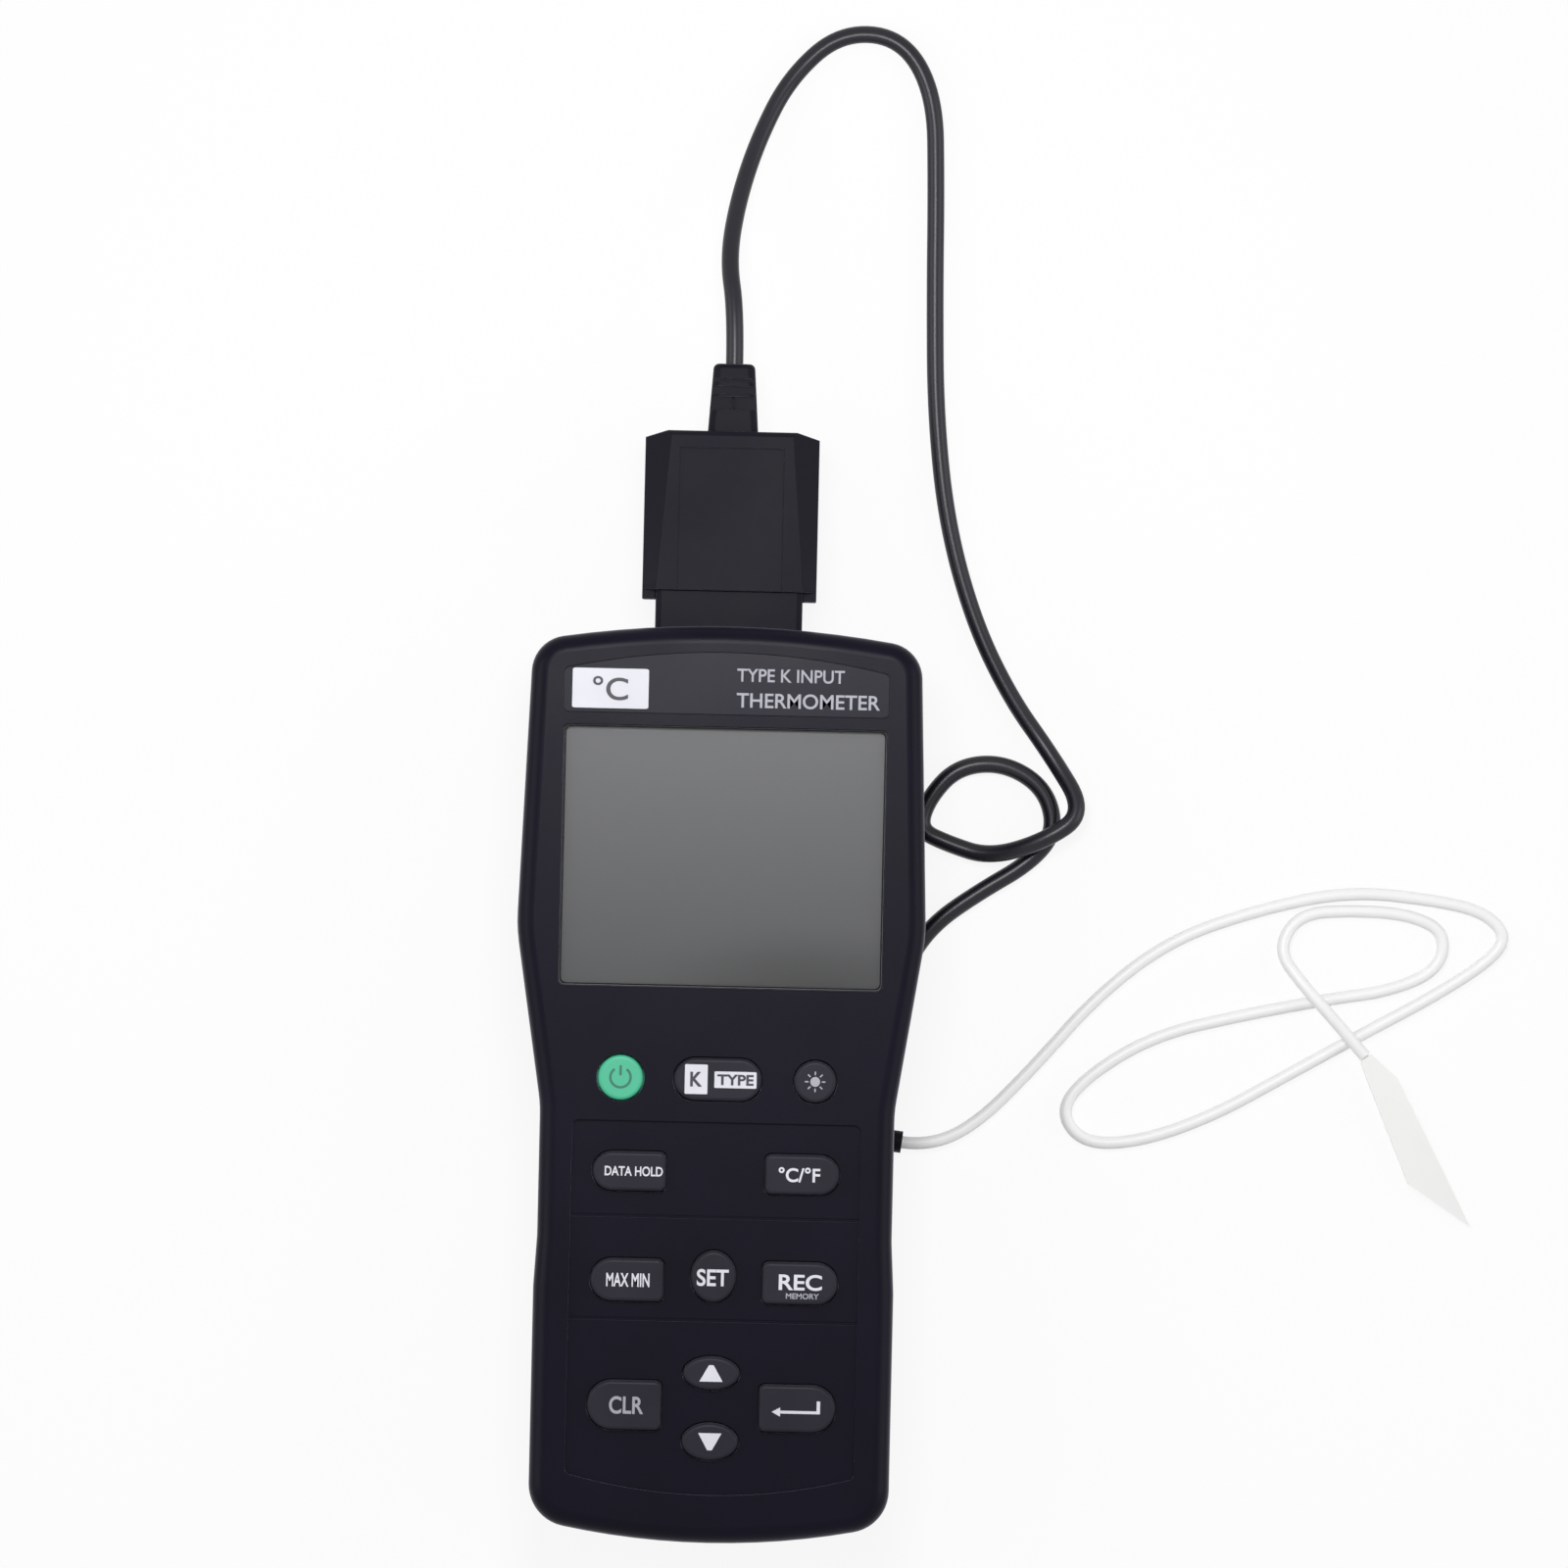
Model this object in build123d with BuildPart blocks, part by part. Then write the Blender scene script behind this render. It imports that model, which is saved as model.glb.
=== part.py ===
from build123d import *
import os
from math import pi, radians, tan

# Front face, seen from the front: X to the right, Y towards the probe plug, Z out of the face
label_width = 57.4
label_inset = 4.55
label_end_height = 7.8
label_bow = 3.3
label_depth = 0.8
label_thickness = 0.6
label_corner = 1.0
label_window_gap = 2.0
window_width = 57.0
window_height = 46.0
window_depth = 1.3
window_lip = 0.5
window_thickness = 1.1
window_corner = 1.0
window_bevel = 0.25
fit_gap = 0.15

# Key panel: distances between the window, the rows of keys and the panel's edges
window_row_gap = 16.0
first_row_pitch = 16.4
second_row_pitch = 19.1
third_row_pitch = 22.0
row_pad_gap = 7.5
pad_row_gap = 12.2
key_column = 15.2
outer_column = 17.1
pad_side = 10.2
pad_bow = 3.4
pad_depth = 0.8
pad_corner = 1.2
groove_width = 0.6
groove_depth = 0.35
groove_offsets = (7.9, 6.9)
set_key_offset = 0.9
up_key_offset = 5.9
down_key_offset = 6.1
key_gap = 0.3
key_rise = 0.8
key_flange = 1.0
key_flange_thickness = 0.8
key_edge_round = 0.6
key_inner_corner = 1.0
key_least_corner = 0.3
key_end_flat = 0.05

# Case outline
head_margin = 7.5
label_margin = 5.5
pad_margin = 5.8
grip_swell = 0.5
pad_inset = 8.55
head_line_gap = 10.0
waist_top_gap = 5.0
waist_end_gap = 11.6
grip_start_gap = 1.5
top_bow = 3.2
bottom_bow = 3.8
top_corner = 6.5
bottom_corner = 7.5
shoulder_round = 30.0
waist_round = 25.0

# Case, from back to front
case_depth = 34.5
parting_height = 19.0
end_tuck = 4.5
tuck_power = 1.6
hull_shares = (0, 0.18, 0.42, 0.68, 1)
back_margin = 4.55
front_edge_round = 3.0
case_wall = 2.2
front_wall = 2.2
back_wall = 2.2
lip_height = 1.4
lip_gap = 0.1

# Inside the case
board_room = 4.7
board_thickness = 1.6
board_side_gap = 1.0
board_end_gap = 0.55
board_corner = 2.0
mat_thickness = 1.0
mat_post_gap = 0.6
mat_top_gap = 6.0
mat_bottom_gap = 0.6
dome_gap = 0.1
dome_inset = 1.4
glass_margin = 0.8
glass_thickness = 2.8
display_frame_wall = 1.2
strip_width = 2.0
strip_inset = 4.5
post_radius = 2.6
post_inset = 3.0
post_window_gap = 6.4
post_end_gap = 5.7
board_screw_radius = 1.0
board_screw_head = 2.0
board_screw_head_height = 1.3
board_screw_length = 5.0
chip_drop = 10.0
chip_width = 14.0
chip_thickness = 1.6
chip_corner = 0.6
buzzer_x = -13.0
buzzer_rise = 1.0
buzzer_radius = 6.0
buzzer_height = 4.2
buzzer_port = 1.0

# Case screws
screw_side_gap = 5.0
screw_top_inset = 12.45
screw_bottom_x = 13.0
screw_bottom_inset = 9.65
screw_radius = 1.3
screw_head_radius = 2.5
screw_head_height = 2.0
screw_seat_height = 6.0
screw_reach = 8.0
screw_hole_gap = 0.25
screw_grip_gap = 0.05
counterbore_gap = 0.4
boss_wall = 1.9

# Battery bay and door
cell_radius = 5.25
cell_length = 43.7
cell_cap_radius = 1.9
cell_cap_height = 0.8
cell_edge_round = 0.5
cell_spacing = 0.4
cell_count = 3
cell_gap = 0.3
contact_thickness = 0.5
contact_size = 8.6
contact_gap = 0.1
spring_length = 6.3
spring_radius = 3.8
spring_taper = 0.6
bay_inset = 14.65
bay_wall = 1.5
door_ledge = 1.8
door_thickness = 2.4
door_sink = 0.2
door_gap = 0.3
door_tongue_width = 12.0
door_tongue_length = 6.0
door_corner = 2.0
door_bevel = 0.4
door_screw_radius = 1.2
door_screw_head_radius = 2.4
door_screw_head_height = 1.3
door_screw_length = 7.5
door_screw_inset = 3.5

# Probe plug
plug_width = 30.8
plug_thickness = 15.0
plug_length = 29.8
plug_stand_off = 4.75
plug_step = 1.7
plug_wall = 2.2
plug_side_wall = 3.8
plug_near_slope = 2.2
plug_far_slope = 4.7
plug_near_shoulder = 3.0
plug_far_shoulder = 4.4
plug_chamfer = 1.2
plug_end_bevel = 0.8
plug_corner_width = 4.0
plug_corner_depth = 1.2
plug_panel_side = 1.5
plug_panel_far = 2.95
plug_panel_depth = 0.6
nose_side = 2.4
nose_edge = 1.3
nose_length = 8.9
nose_gap = 0.3
nose_fit = 0.1
nose_flange = 2.4
nose_corner = 1.2
nose_bevel = 0.6
neck_side = 1.4
neck_edge = 1.1
blade_pitch = 7.9
blade_widths = (3.2, 2.4)
blade_thickness = 0.8
blade_reach = 6.5
blade_tail_length = 14.6
blade_gap = 0.1
blade_bevel = 0.3
relief_base = 8.9
relief_end = 7.3
relief_flatness = 0.9
relief_corner = 1.5
relief_length = 12.1
relief_neck = 6.4
relief_flange = 9.6
relief_flange_thickness = 1.4
relief_slot_depth = 0.9
relief_slots = ((5.1, 2.4), (7.4, 1.4), (9.2, 0.6))
relief_spine = 0.4
relief_end_round = 1.0

# Input socket
socket_gap = 0.3
socket_side = 1.5
socket_edge = 1.3
socket_board_gap = 1.0
socket_length = 14.0
socket_corner = 1.0
slot_height = 1.7
socket_strip_thickness = 0.5
strip_tail = 3.0
strip_setback = 1.0
socket_rib = 2.0
socket_rib_width = 22.0
socket_rib_setbacks = (10.4, 2.8)

# Cords
cord_radius = 1.55
lead_radius = 1.1
table_gap = 0.05
run_share = 0.45
sleeve_radius = 1.95
sleeve_on_cord = 2.0
sleeve_gap = 0.05
tip_thickness = 1.6
tip_edge = 0.5
tip_gap = 0.2
tip_shoulder = 6.4
tip_shoulder_width = 2.9
tip_corner = 23.6
tip_corner_width = 5.4
tip_lean = 0.6

# Length of the case: what stands on its front face, from the top end down
label_height = label_bow + label_end_height
rows_height = first_row_pitch + second_row_pitch + third_row_pitch
top_half_height = label_inset + label_height + label_window_gap + window_height + window_row_gap
case_length = top_half_height + rows_height + pad_row_gap + pad_bow + pad_inset
case_end = case_length / 2

# Places along the case
label_bottom = case_end - label_inset - label_height
window_bottom = label_bottom - label_window_gap - window_height
window_centre = window_bottom + window_height / 2
first_row = window_bottom - window_row_gap
second_row = first_row - first_row_pitch
third_row = second_row - second_row_pitch
fourth_row = third_row - third_row_pitch
pad_top = first_row - row_pad_gap
pad_end = fourth_row - pad_row_gap
groove_lines = (second_row - groove_offsets[0], third_row - groove_offsets[1])
head_line = window_bottom + head_line_gap
waist_top = first_row - waist_top_gap
waist_end = second_row - waist_end_gap
grip_start = third_row - grip_start_gap

# Widths of the case
pad_width = 2 * (key_column + pad_side)
waist_width = pad_width + 2 * pad_margin
grip_width = waist_width + 2 * grip_swell
head_width = window_width + 2 * head_margin
head_top_width = label_width + 2 * label_margin
cell_pitch = 2 * cell_radius + cell_spacing
bay_width = cell_count * cell_pitch + 2 * cell_gap
side_tuck = (waist_width - bay_width) / 2 - back_margin

# Heights from the back to the front face
hull_heights = [share * parting_height for share in hull_shares]
front_inside = case_depth - front_wall
key_panel = case_depth - pad_depth
board_front = front_inside - board_room
board_height = board_front - board_thickness
mat_front = board_front + mat_thickness
flange_front = front_inside - fit_gap
flange_back = flange_front - key_flange_thickness
window_seat = case_depth - window_depth
glass_front = front_inside - fit_gap
glass_back = glass_front - glass_thickness

# Battery bay
bay_length = cell_length + cell_cap_height + 2 * (contact_thickness + contact_gap) + spring_length
bay_bottom = bay_inset - case_end
bay_centre = bay_bottom + bay_length / 2
cell_height = door_sink + door_thickness + cell_gap + cell_radius
bay_roof = cell_height + cell_radius + cell_gap
door_seat = door_sink + door_thickness + fit_gap
door_reach = bay_length / 2 + door_ledge + door_tongue_length - door_screw_inset
door_screw_places = ((0, bay_centre - door_reach), (0, bay_centre + door_reach))

# Plug and socket
plug_start = case_end + plug_stand_off
nose_end = plug_start - nose_length
nose_width = plug_width - 2 * nose_side
nose_thickness = plug_thickness - 2 * nose_edge
plug_near_face = plug_width - 2 * plug_near_slope
plug_far_face = plug_width - 2 * plug_far_slope
plug_cavity_width = plug_width - 2 * plug_side_wall
plug_cavity_thickness = plug_thickness - 2 * plug_wall
plug_panel_width = plug_far_face - 2 * plug_panel_side
nose_seat = plug_start + plug_step
nose_neck_width = plug_cavity_width - 2 * neck_side
nose_neck_thickness = plug_cavity_thickness - 2 * neck_edge
blade_tail = plug_start + blade_tail_length
blade_places = ((-blade_pitch / 2, blade_widths[0]), (blade_pitch / 2, blade_widths[1]))
relief_start = plug_start + plug_length
cord_start = relief_start + relief_length
socket_front = nose_end - socket_gap
socket_back = socket_front - socket_length
socket_width = nose_width + 2 * socket_side
socket_thickness = nose_thickness + 2 * socket_edge
socket_top = board_height - socket_board_gap
socket_bottom = socket_top - socket_thickness
plug_height = socket_top - socket_thickness / 2
socket_rib_lines = [socket_front - setback for setback in socket_rib_setbacks]
strip_height = plug_height - blade_thickness / 2 - blade_gap
slot_centre = strip_height - socket_strip_thickness - plug_height + slot_height / 2

# Screws, board and key mat
screw_x = socket_width / 2 + screw_side_gap
screw_top = case_end - screw_top_inset
screw_bottom = screw_bottom_inset - case_end
case_screw_places = (
    (-screw_x, screw_top),
    (screw_x, screw_top),
    (-screw_bottom_x, screw_bottom),
    (screw_bottom_x, screw_bottom),
)
boss_radius = screw_radius + screw_grip_gap + boss_wall
board_width = waist_width - 2 * (case_wall + board_side_gap)
board_top = socket_back - fit_gap
board_bottom = screw_bottom + boss_radius + board_end_gap
post_x = board_width / 2 - post_inset
post_lines = (window_bottom - post_window_gap, board_bottom + post_end_gap)
post_places = [(side * post_x, line) for side in (-1, 1) for line in post_lines]
mat_width = 2 * (post_x - post_radius - mat_post_gap)
mat_top = first_row + mat_top_gap
mat_bottom = board_bottom + mat_bottom_gap
strip_line = window_height / 2 - window_lip - strip_width / 2
strip_length = window_width - 2 * strip_inset
chip_line = window_centre - chip_drop
buzzer_place = (buzzer_x, first_row + buzzer_rise)

# Keys: name, outline, place of the centre, width and height
keys = (
    ("power_key", "oval", (-outer_column, first_row), 7.9, 7.9),
    ("mode_key", "pill", (0.0, first_row), 15.3, 7.4),
    ("light_key", "oval", (outer_column, first_row), 7.3, 7.3),
    ("hold_key", "left", (-key_column, second_row), 12.7, 6.8),
    ("unit_key", "right", (key_column, second_row), 12.9, 6.9),
    ("max_min_key", "left", (-key_column, third_row), 12.7, 7.4),
    ("set_key", "oval", (0.0, third_row + set_key_offset), 7.8, 9.0),
    ("record_key", "right", (key_column, third_row), 13.1, 7.3),
    ("clear_key", "left", (-key_column, fourth_row), 12.9, 8.6),
    ("up_key", "oval", (0.0, fourth_row + up_key_offset), 9.8, 5.8),
    ("down_key", "oval", (0.0, fourth_row - down_key_offset), 9.8, 6.5),
    ("enter_key", "right", (key_column, fourth_row), 13.3, 8.2),
)

# Routes of the cords, from the plug to the sensor
cord_on_table = cord_radius + table_gap
lead_on_table = lead_radius + table_gap
sleeve_on_table = sleeve_radius + table_gap
black_route = (
    (0.0, cord_start, plug_height),
    (0.0, cord_start + 9.4, plug_height),
    (-1.6, cord_start + 19.0, 13.8),
    (0.0, cord_start + 30.0, 8.0),
    (3.4, cord_start + 41.2, 3.2),
    (8.6, cord_start + 52.0, cord_on_table),
    (17.4, 187.6, cord_on_table),
    (28.4, 187.0, cord_on_table),
    (34.6, 177.0, cord_on_table),
    (35.2, 160.0, cord_on_table),
    (35.4, 141.0, cord_on_table),
    (36.0, 120.0, cord_on_table),
    (38.4, 100.5, cord_on_table),
    (43.6, 83.0, cord_on_table),
    (50.4, 69.6, cord_on_table),
    (58.0, 59.4, cord_on_table),
    (64.4, 49.2, 5.8),
    (56.8, 43.9, 6.2),
    (47.4, 40.9, 3.0),
    (39.8, 43.2, cord_on_table),
    (34.6, 45.6, cord_on_table),
    (36.3, 51.3, cord_on_table),
    (41.4, 57.0, cord_on_table),
    (49.6, 57.9, cord_on_table),
    (57.0, 53.6, cord_on_table),
    (59.2, 46.0, cord_on_table),
    (54.8, 40.2, cord_on_table),
    (45.6, 34.6, cord_on_table),
    (37.6, 28.8, cord_on_table),
    (32.8, 21.6, cord_on_table),
    (30.4, 13.0, cord_on_table),
    (28.6, 4.4, cord_on_table),
    (27.6, -2.4, cord_on_table),
    (27.6, -6.8, cord_on_table),
    (29.6, -9.9, sleeve_on_table),
    (32.9, -10.3, sleeve_on_table),
)
pale_route = (
    black_route[-1],
    (37.7, -10.88, sleeve_on_table),
    (46.0, -7.0, lead_on_table),
    (56.0, 3.4, lead_on_table),
    (67.2, 16.6, lead_on_table),
    (80.0, 26.8, lead_on_table),
    (95.5, 32.6, lead_on_table),
    (112.0, 36.4, lead_on_table),
    (128.0, 34.9, lead_on_table),
    (136.2, 33.0, lead_on_table),
    (140.2, 28.8, lead_on_table),
    (137.2, 24.4, lead_on_table),
    (127.0, 17.6, lead_on_table),
    (114.0, 10.4, lead_on_table),
    (101.5, 3.2, lead_on_table),
    (88.0, -4.6, lead_on_table),
    (75.0, -9.4, lead_on_table),
    (65.2, -9.8, lead_on_table),
    (61.0, -4.2, lead_on_table),
    (65.4, 2.0, lead_on_table),
    (77.6, 9.8, lead_on_table),
    (94.0, 13.9, lead_on_table),
    (109.0, 17.0, lead_on_table),
    (119.4, 18.6, lead_on_table),
    (128.2, 22.6, lead_on_table),
    (129.2, 29.4, lead_on_table),
    (122.6, 32.4, lead_on_table),
    (112.4, 32.9, lead_on_table),
    (102.8, 32.0, lead_on_table),
    (99.2, 25.4, 1.8),
    (104.0, 19.2, 4.2),
    (109.8, 13.0, 4.6),
    (115.1, 7.0, 3.6),
)
tip_point = Vector(134.7, -23.1, tip_thickness / 2 + table_gap)

os.makedirs("parts", exist_ok=True)


def save(part, name):
    """Label one finished piece and write it"""
    part.label = name
    export_step(part, f"parts/{name}.step")


def case_outline(height, side, end):
    """Outline of the case from the front, drawn in by side at the flanks and by end at both ends"""
    top = case_end - end
    waist_x = waist_width / 2 - side
    grip_x = grip_width / 2 - side
    right = [
        (head_top_width / 2 - side, top - top_bow),
        (head_width / 2 - side, head_line),
        (waist_x, waist_top),
        (waist_x, waist_end),
        (grip_x, grip_start),
        (grip_x, bottom_bow - top),
    ]
    left = [(-x, y) for x, y in right]
    rounds = (top_corner, shoulder_round, waist_round, waist_round, waist_round, bottom_corner)
    with BuildSketch(Plane.XY.offset(height)) as outline:
        with BuildLine():
            ThreePointArc(left[0], (0, top), right[0])
            Polyline(*right)
            ThreePointArc(right[-1], (0, -top), left[-1])
            Polyline(*left)
        make_face()
        for (x, y), radius in zip(right, rounds):
            corners = outline.vertices()
            fillet([v for v in corners if abs(abs(v.X) - x) + abs(v.Y - y) < 0.01], radius)
    return outline.sketch


def tuck(height):
    """Share of the tuck that is left at a height: 1 at the back, 0 at the parting line"""
    return (1 - height / parting_height) ** tuck_power


def hull_outlines(heights, wall):
    """Outlines that the boat-shaped back of the case is lofted through, drawn in by wall"""
    return [
        case_outline(height, side_tuck * tuck(height) + wall, end_tuck * tuck(height) + wall)
        for height in heights
    ]


def label_outline(height, grow):
    """Outline of the label above the window, with a bowed top"""
    half = label_width / 2 + grow
    low = label_bottom - grow
    high = label_bottom + label_end_height + grow
    with BuildSketch(Plane.XY.offset(height)) as outline:
        with BuildLine():
            ThreePointArc((-half, high), (0, high + label_bow), (half, high))
            Polyline((half, high), (half, low), (-half, low), (-half, high))
        make_face()
        fillet(outline.vertices(), label_corner)
    return outline.sketch


def window_outline(height, grow):
    """Outline of the display window or of an opening round it"""
    with BuildSketch(Plane.XY.offset(height)) as outline:
        with Locations((0, window_centre)):
            RectangleRounded(window_width + 2 * grow, window_height + 2 * grow, window_corner)
    return outline.sketch


def key_outline(key, height, grow):
    """Outline of one key at its place, drawn out by grow"""
    shape, centre, wide, high = key[1], key[2], key[3] + 2 * grow, key[4] + 2 * grow
    with BuildSketch() as outline:
        if shape == "oval":
            Ellipse(wide / 2, high / 2)
        elif shape == "pill":
            SlotOverall(wide, high)
        else:
            Rectangle(wide, high)
            fillet(outline.vertices().group_by(Axis.X)[-1], high / 2 - key_end_flat)
            fillet(outline.vertices().group_by(Axis.X)[0], max(key_inner_corner + grow, key_least_corner))
            if shape == "left":
                mirror(about=Plane.YZ, mode=Mode.REPLACE)
    with BuildSketch(Plane.XY.offset(height)) as placed:
        with Locations(centre):
            add(outline.sketch)
    return placed.sketch


def door_outline(height, grow):
    """Outline of the battery door with its two screw tongues, drawn out by grow"""
    length = bay_length + 2 * door_ledge
    with BuildSketch(Plane.XY.offset(height)) as outline:
        with Locations((0, bay_centre)):
            Rectangle(bay_width + 2 * (door_ledge + grow), length + 2 * grow)
            Rectangle(door_tongue_width + 2 * grow, length + 2 * (door_tongue_length + grow))
        fillet(outline.vertices(), door_corner)
    return outline.sketch


def across(y):
    """Plane across the plug's axis, seen from the meter's lower end"""
    return Plane(origin=(0, y, plug_height), x_dir=(1, 0, 0), z_dir=(0, -1, 0))


def plug_section(y, face, shoulder, side):
    """Half of the plug's section: the front half for side 1, the back half for side -1"""
    half = plug_width / 2
    deep = plug_thickness / 2
    with BuildSketch(across(y)) as section:
        with BuildLine():
            Polyline(
                (-half, 0),
                (half, 0),
                (half, side * (deep - shoulder)),
                (face / 2, side * deep),
                (-face / 2, side * deep),
                (-half, side * (deep - shoulder)),
                (-half, 0),
            )
        make_face()
    return section.sketch


def plug_half(side):
    """One half shell of the plug, hollow, with its share of the two end openings"""
    far = plug_start + plug_length
    half = plug_width / 2
    deep = plug_thickness / 2
    cavity_length = plug_length - plug_step - 2 * plug_wall
    with BuildPart() as half_shell:
        if side > 0:
            near_section = plug_section(plug_start, plug_near_face, plug_near_shoulder, side)
            far_section = plug_section(far, plug_far_face, plug_far_shoulder, side)
        else:
            near_section = plug_section(plug_start, plug_width - 2 * plug_chamfer, plug_chamfer, side)
            far_section = plug_section(far, plug_width - 2 * plug_chamfer, plug_chamfer, side)
        loft([near_section, far_section], ruled=True)
        face = half_shell.faces().sort_by(Axis.Z)[-1 if side > 0 else 0]
        chamfer(face.edges().filter_by(Axis.X), plug_end_bevel)
        with BuildSketch(across(far - plug_wall)):
            Rectangle(plug_cavity_width, plug_cavity_thickness)
        extrude(amount=cavity_length, mode=Mode.SUBTRACT)
        with BuildSketch(across(far - plug_wall)):
            Rectangle(nose_neck_width + 2 * nose_fit, nose_neck_thickness + 2 * nose_fit)
        extrude(amount=plug_length, mode=Mode.SUBTRACT)
        with BuildSketch(across(far)):
            Circle(relief_neck / 2 + nose_fit)
        extrude(amount=plug_wall, mode=Mode.SUBTRACT)
        # Pocket that the nose block sits in
        with BuildSketch(across(nose_seat)):
            Rectangle(nose_width + 2 * nose_fit, nose_thickness + 2 * nose_fit)
        extrude(amount=plug_step, mode=Mode.SUBTRACT)
        # Far corners cut off across the wings
        with BuildSketch(Plane.XY.offset(plug_height)):
            with BuildLine():
                Polyline(
                    (half, far),
                    (half, far - plug_corner_depth),
                    (half - plug_corner_width, far),
                    (half, far),
                )
            make_face()
            mirror(about=Plane.YZ)
        extrude(amount=deep, both=True, mode=Mode.SUBTRACT)
        if side > 0:
            # The front block stands back from the wings' near ends
            with BuildSketch(across(nose_seat)):
                with Locations((0, deep - plug_near_shoulder / 2)):
                    Rectangle(plug_width, plug_near_shoulder)
            extrude(amount=plug_step, mode=Mode.SUBTRACT)
            # Thumb panel: a ramp that is deepest at the far end
            with BuildSketch(Plane.YZ):
                with BuildLine():
                    Polyline(
                        (nose_seat, plug_height + deep),
                        (far - plug_panel_far, plug_height + deep),
                        (far - plug_panel_far, plug_height + deep - plug_panel_depth),
                        (nose_seat, plug_height + deep),
                    )
                make_face()
            extrude(amount=plug_panel_width / 2, both=True, mode=Mode.SUBTRACT)
    return half_shell.part


def corner_radii(points):
    """Radius of the arc at each corner of a route, as large as its two runs allow"""
    radii = []
    for before, corner, after in zip(points, points[1:], points[2:]):
        run_in = Vector(*corner) - Vector(*before)
        run_out = Vector(*after) - Vector(*corner)
        turn = radians(run_in.get_angle(run_out))
        radii.append(run_share * min(run_in.length, run_out.length) / tan(turn / 2))
    return radii


def cord(points, radius):
    """Round cord along a route of straight runs joined by tangent arcs"""
    radii = corner_radii(points)
    print("cord radii", [round(r, 1) for r in radii])
    with BuildPart() as tube:
        with BuildLine() as route:
            FilletPolyline(*points, radius=radii)
        with BuildSketch(Plane(origin=points[0], z_dir=route.line % 0)):
            Circle(radius)
        sweep()
    length = sum(edge.length for edge in route.edges())
    filled_length = tube.part.volume / (pi * radius**2)
    print("cord length", round(length, 1), "volume over section", round(filled_length, 1))
    return tube.part


# Front case: outline drawn up to a rounded front edge, hollow from behind
with BuildPart() as front_case:
    extrude(case_outline(parting_height, 0, 0), amount=case_depth - parting_height)
    fillet(front_case.faces().sort_by(Axis.Z)[-1].edges(), front_edge_round)
    room_outline = case_outline(parting_height, case_wall, case_wall)
    extrude(room_outline, amount=front_inside - parting_height, mode=Mode.SUBTRACT)
    # Step round the parting line that takes the lip of the rear case
    step_outline = case_outline(parting_height, case_wall / 2, case_wall / 2)
    extrude(step_outline, amount=lip_height + lip_gap, mode=Mode.SUBTRACT)
    # Bosses for the case screws and posts for the circuit board
    with BuildSketch(Plane.XY.offset(front_inside)):
        with Locations(*case_screw_places):
            Circle(boss_radius)
    extrude(amount=parting_height - front_inside)
    with BuildSketch(Plane.XY.offset(front_inside)):
        with Locations(*post_places):
            Circle(post_radius)
    extrude(amount=board_front - front_inside)
    # Ribs that hold the input socket down
    with BuildSketch(Plane.XY.offset(front_inside)):
        with Locations(*[(0, y) for y in socket_rib_lines]):
            Rectangle(socket_rib_width, socket_rib)
    extrude(amount=socket_top - front_inside)
    # Recesses for the label and the window, and the window's opening
    extrude(label_outline(case_depth - label_depth, 0), amount=label_depth, mode=Mode.SUBTRACT)
    extrude(window_outline(window_seat, 0), amount=window_depth, mode=Mode.SUBTRACT)
    extrude(window_outline(front_inside, -window_lip), amount=front_wall, mode=Mode.SUBTRACT)
    # Sunk key panel with a bowed lower edge and two cross grooves
    with BuildSketch(Plane.XY.offset(key_panel)) as panel:
        with BuildLine():
            Polyline(
                (-pad_width / 2, pad_end),
                (-pad_width / 2, pad_top),
                (pad_width / 2, pad_top),
                (pad_width / 2, pad_end),
            )
            ThreePointArc((pad_width / 2, pad_end), (0, pad_end - pad_bow), (-pad_width / 2, pad_end))
        make_face()
        fillet(panel.vertices(), pad_corner)
    extrude(amount=pad_depth, mode=Mode.SUBTRACT)
    with BuildSketch(Plane.XY.offset(key_panel)):
        with Locations(*[(0, y) for y in groove_lines]):
            Rectangle(pad_width, groove_width)
    extrude(amount=-groove_depth, mode=Mode.SUBTRACT)
    for key in keys:
        extrude(key_outline(key, front_inside, key_gap), amount=front_wall, mode=Mode.SUBTRACT)
    # Pilot holes of the screws
    with BuildSketch(Plane.XY.offset(parting_height)):
        with Locations(*case_screw_places):
            Circle(screw_radius + screw_grip_gap)
    extrude(amount=screw_reach + screw_grip_gap, mode=Mode.SUBTRACT)
    with BuildSketch(Plane.XY.offset(board_front)):
        with Locations(*post_places):
            Circle(board_screw_radius + screw_grip_gap)
    extrude(amount=board_screw_length - board_thickness + screw_grip_gap, mode=Mode.SUBTRACT)
    # Front half of the opening for the plug
    with BuildSketch(across(case_end)):
        Rectangle(nose_width + 2 * nose_gap, nose_thickness + 2 * nose_gap)
    extrude(amount=case_end - socket_front, mode=Mode.SUBTRACT)
save(front_case.part, "front_case")

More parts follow.
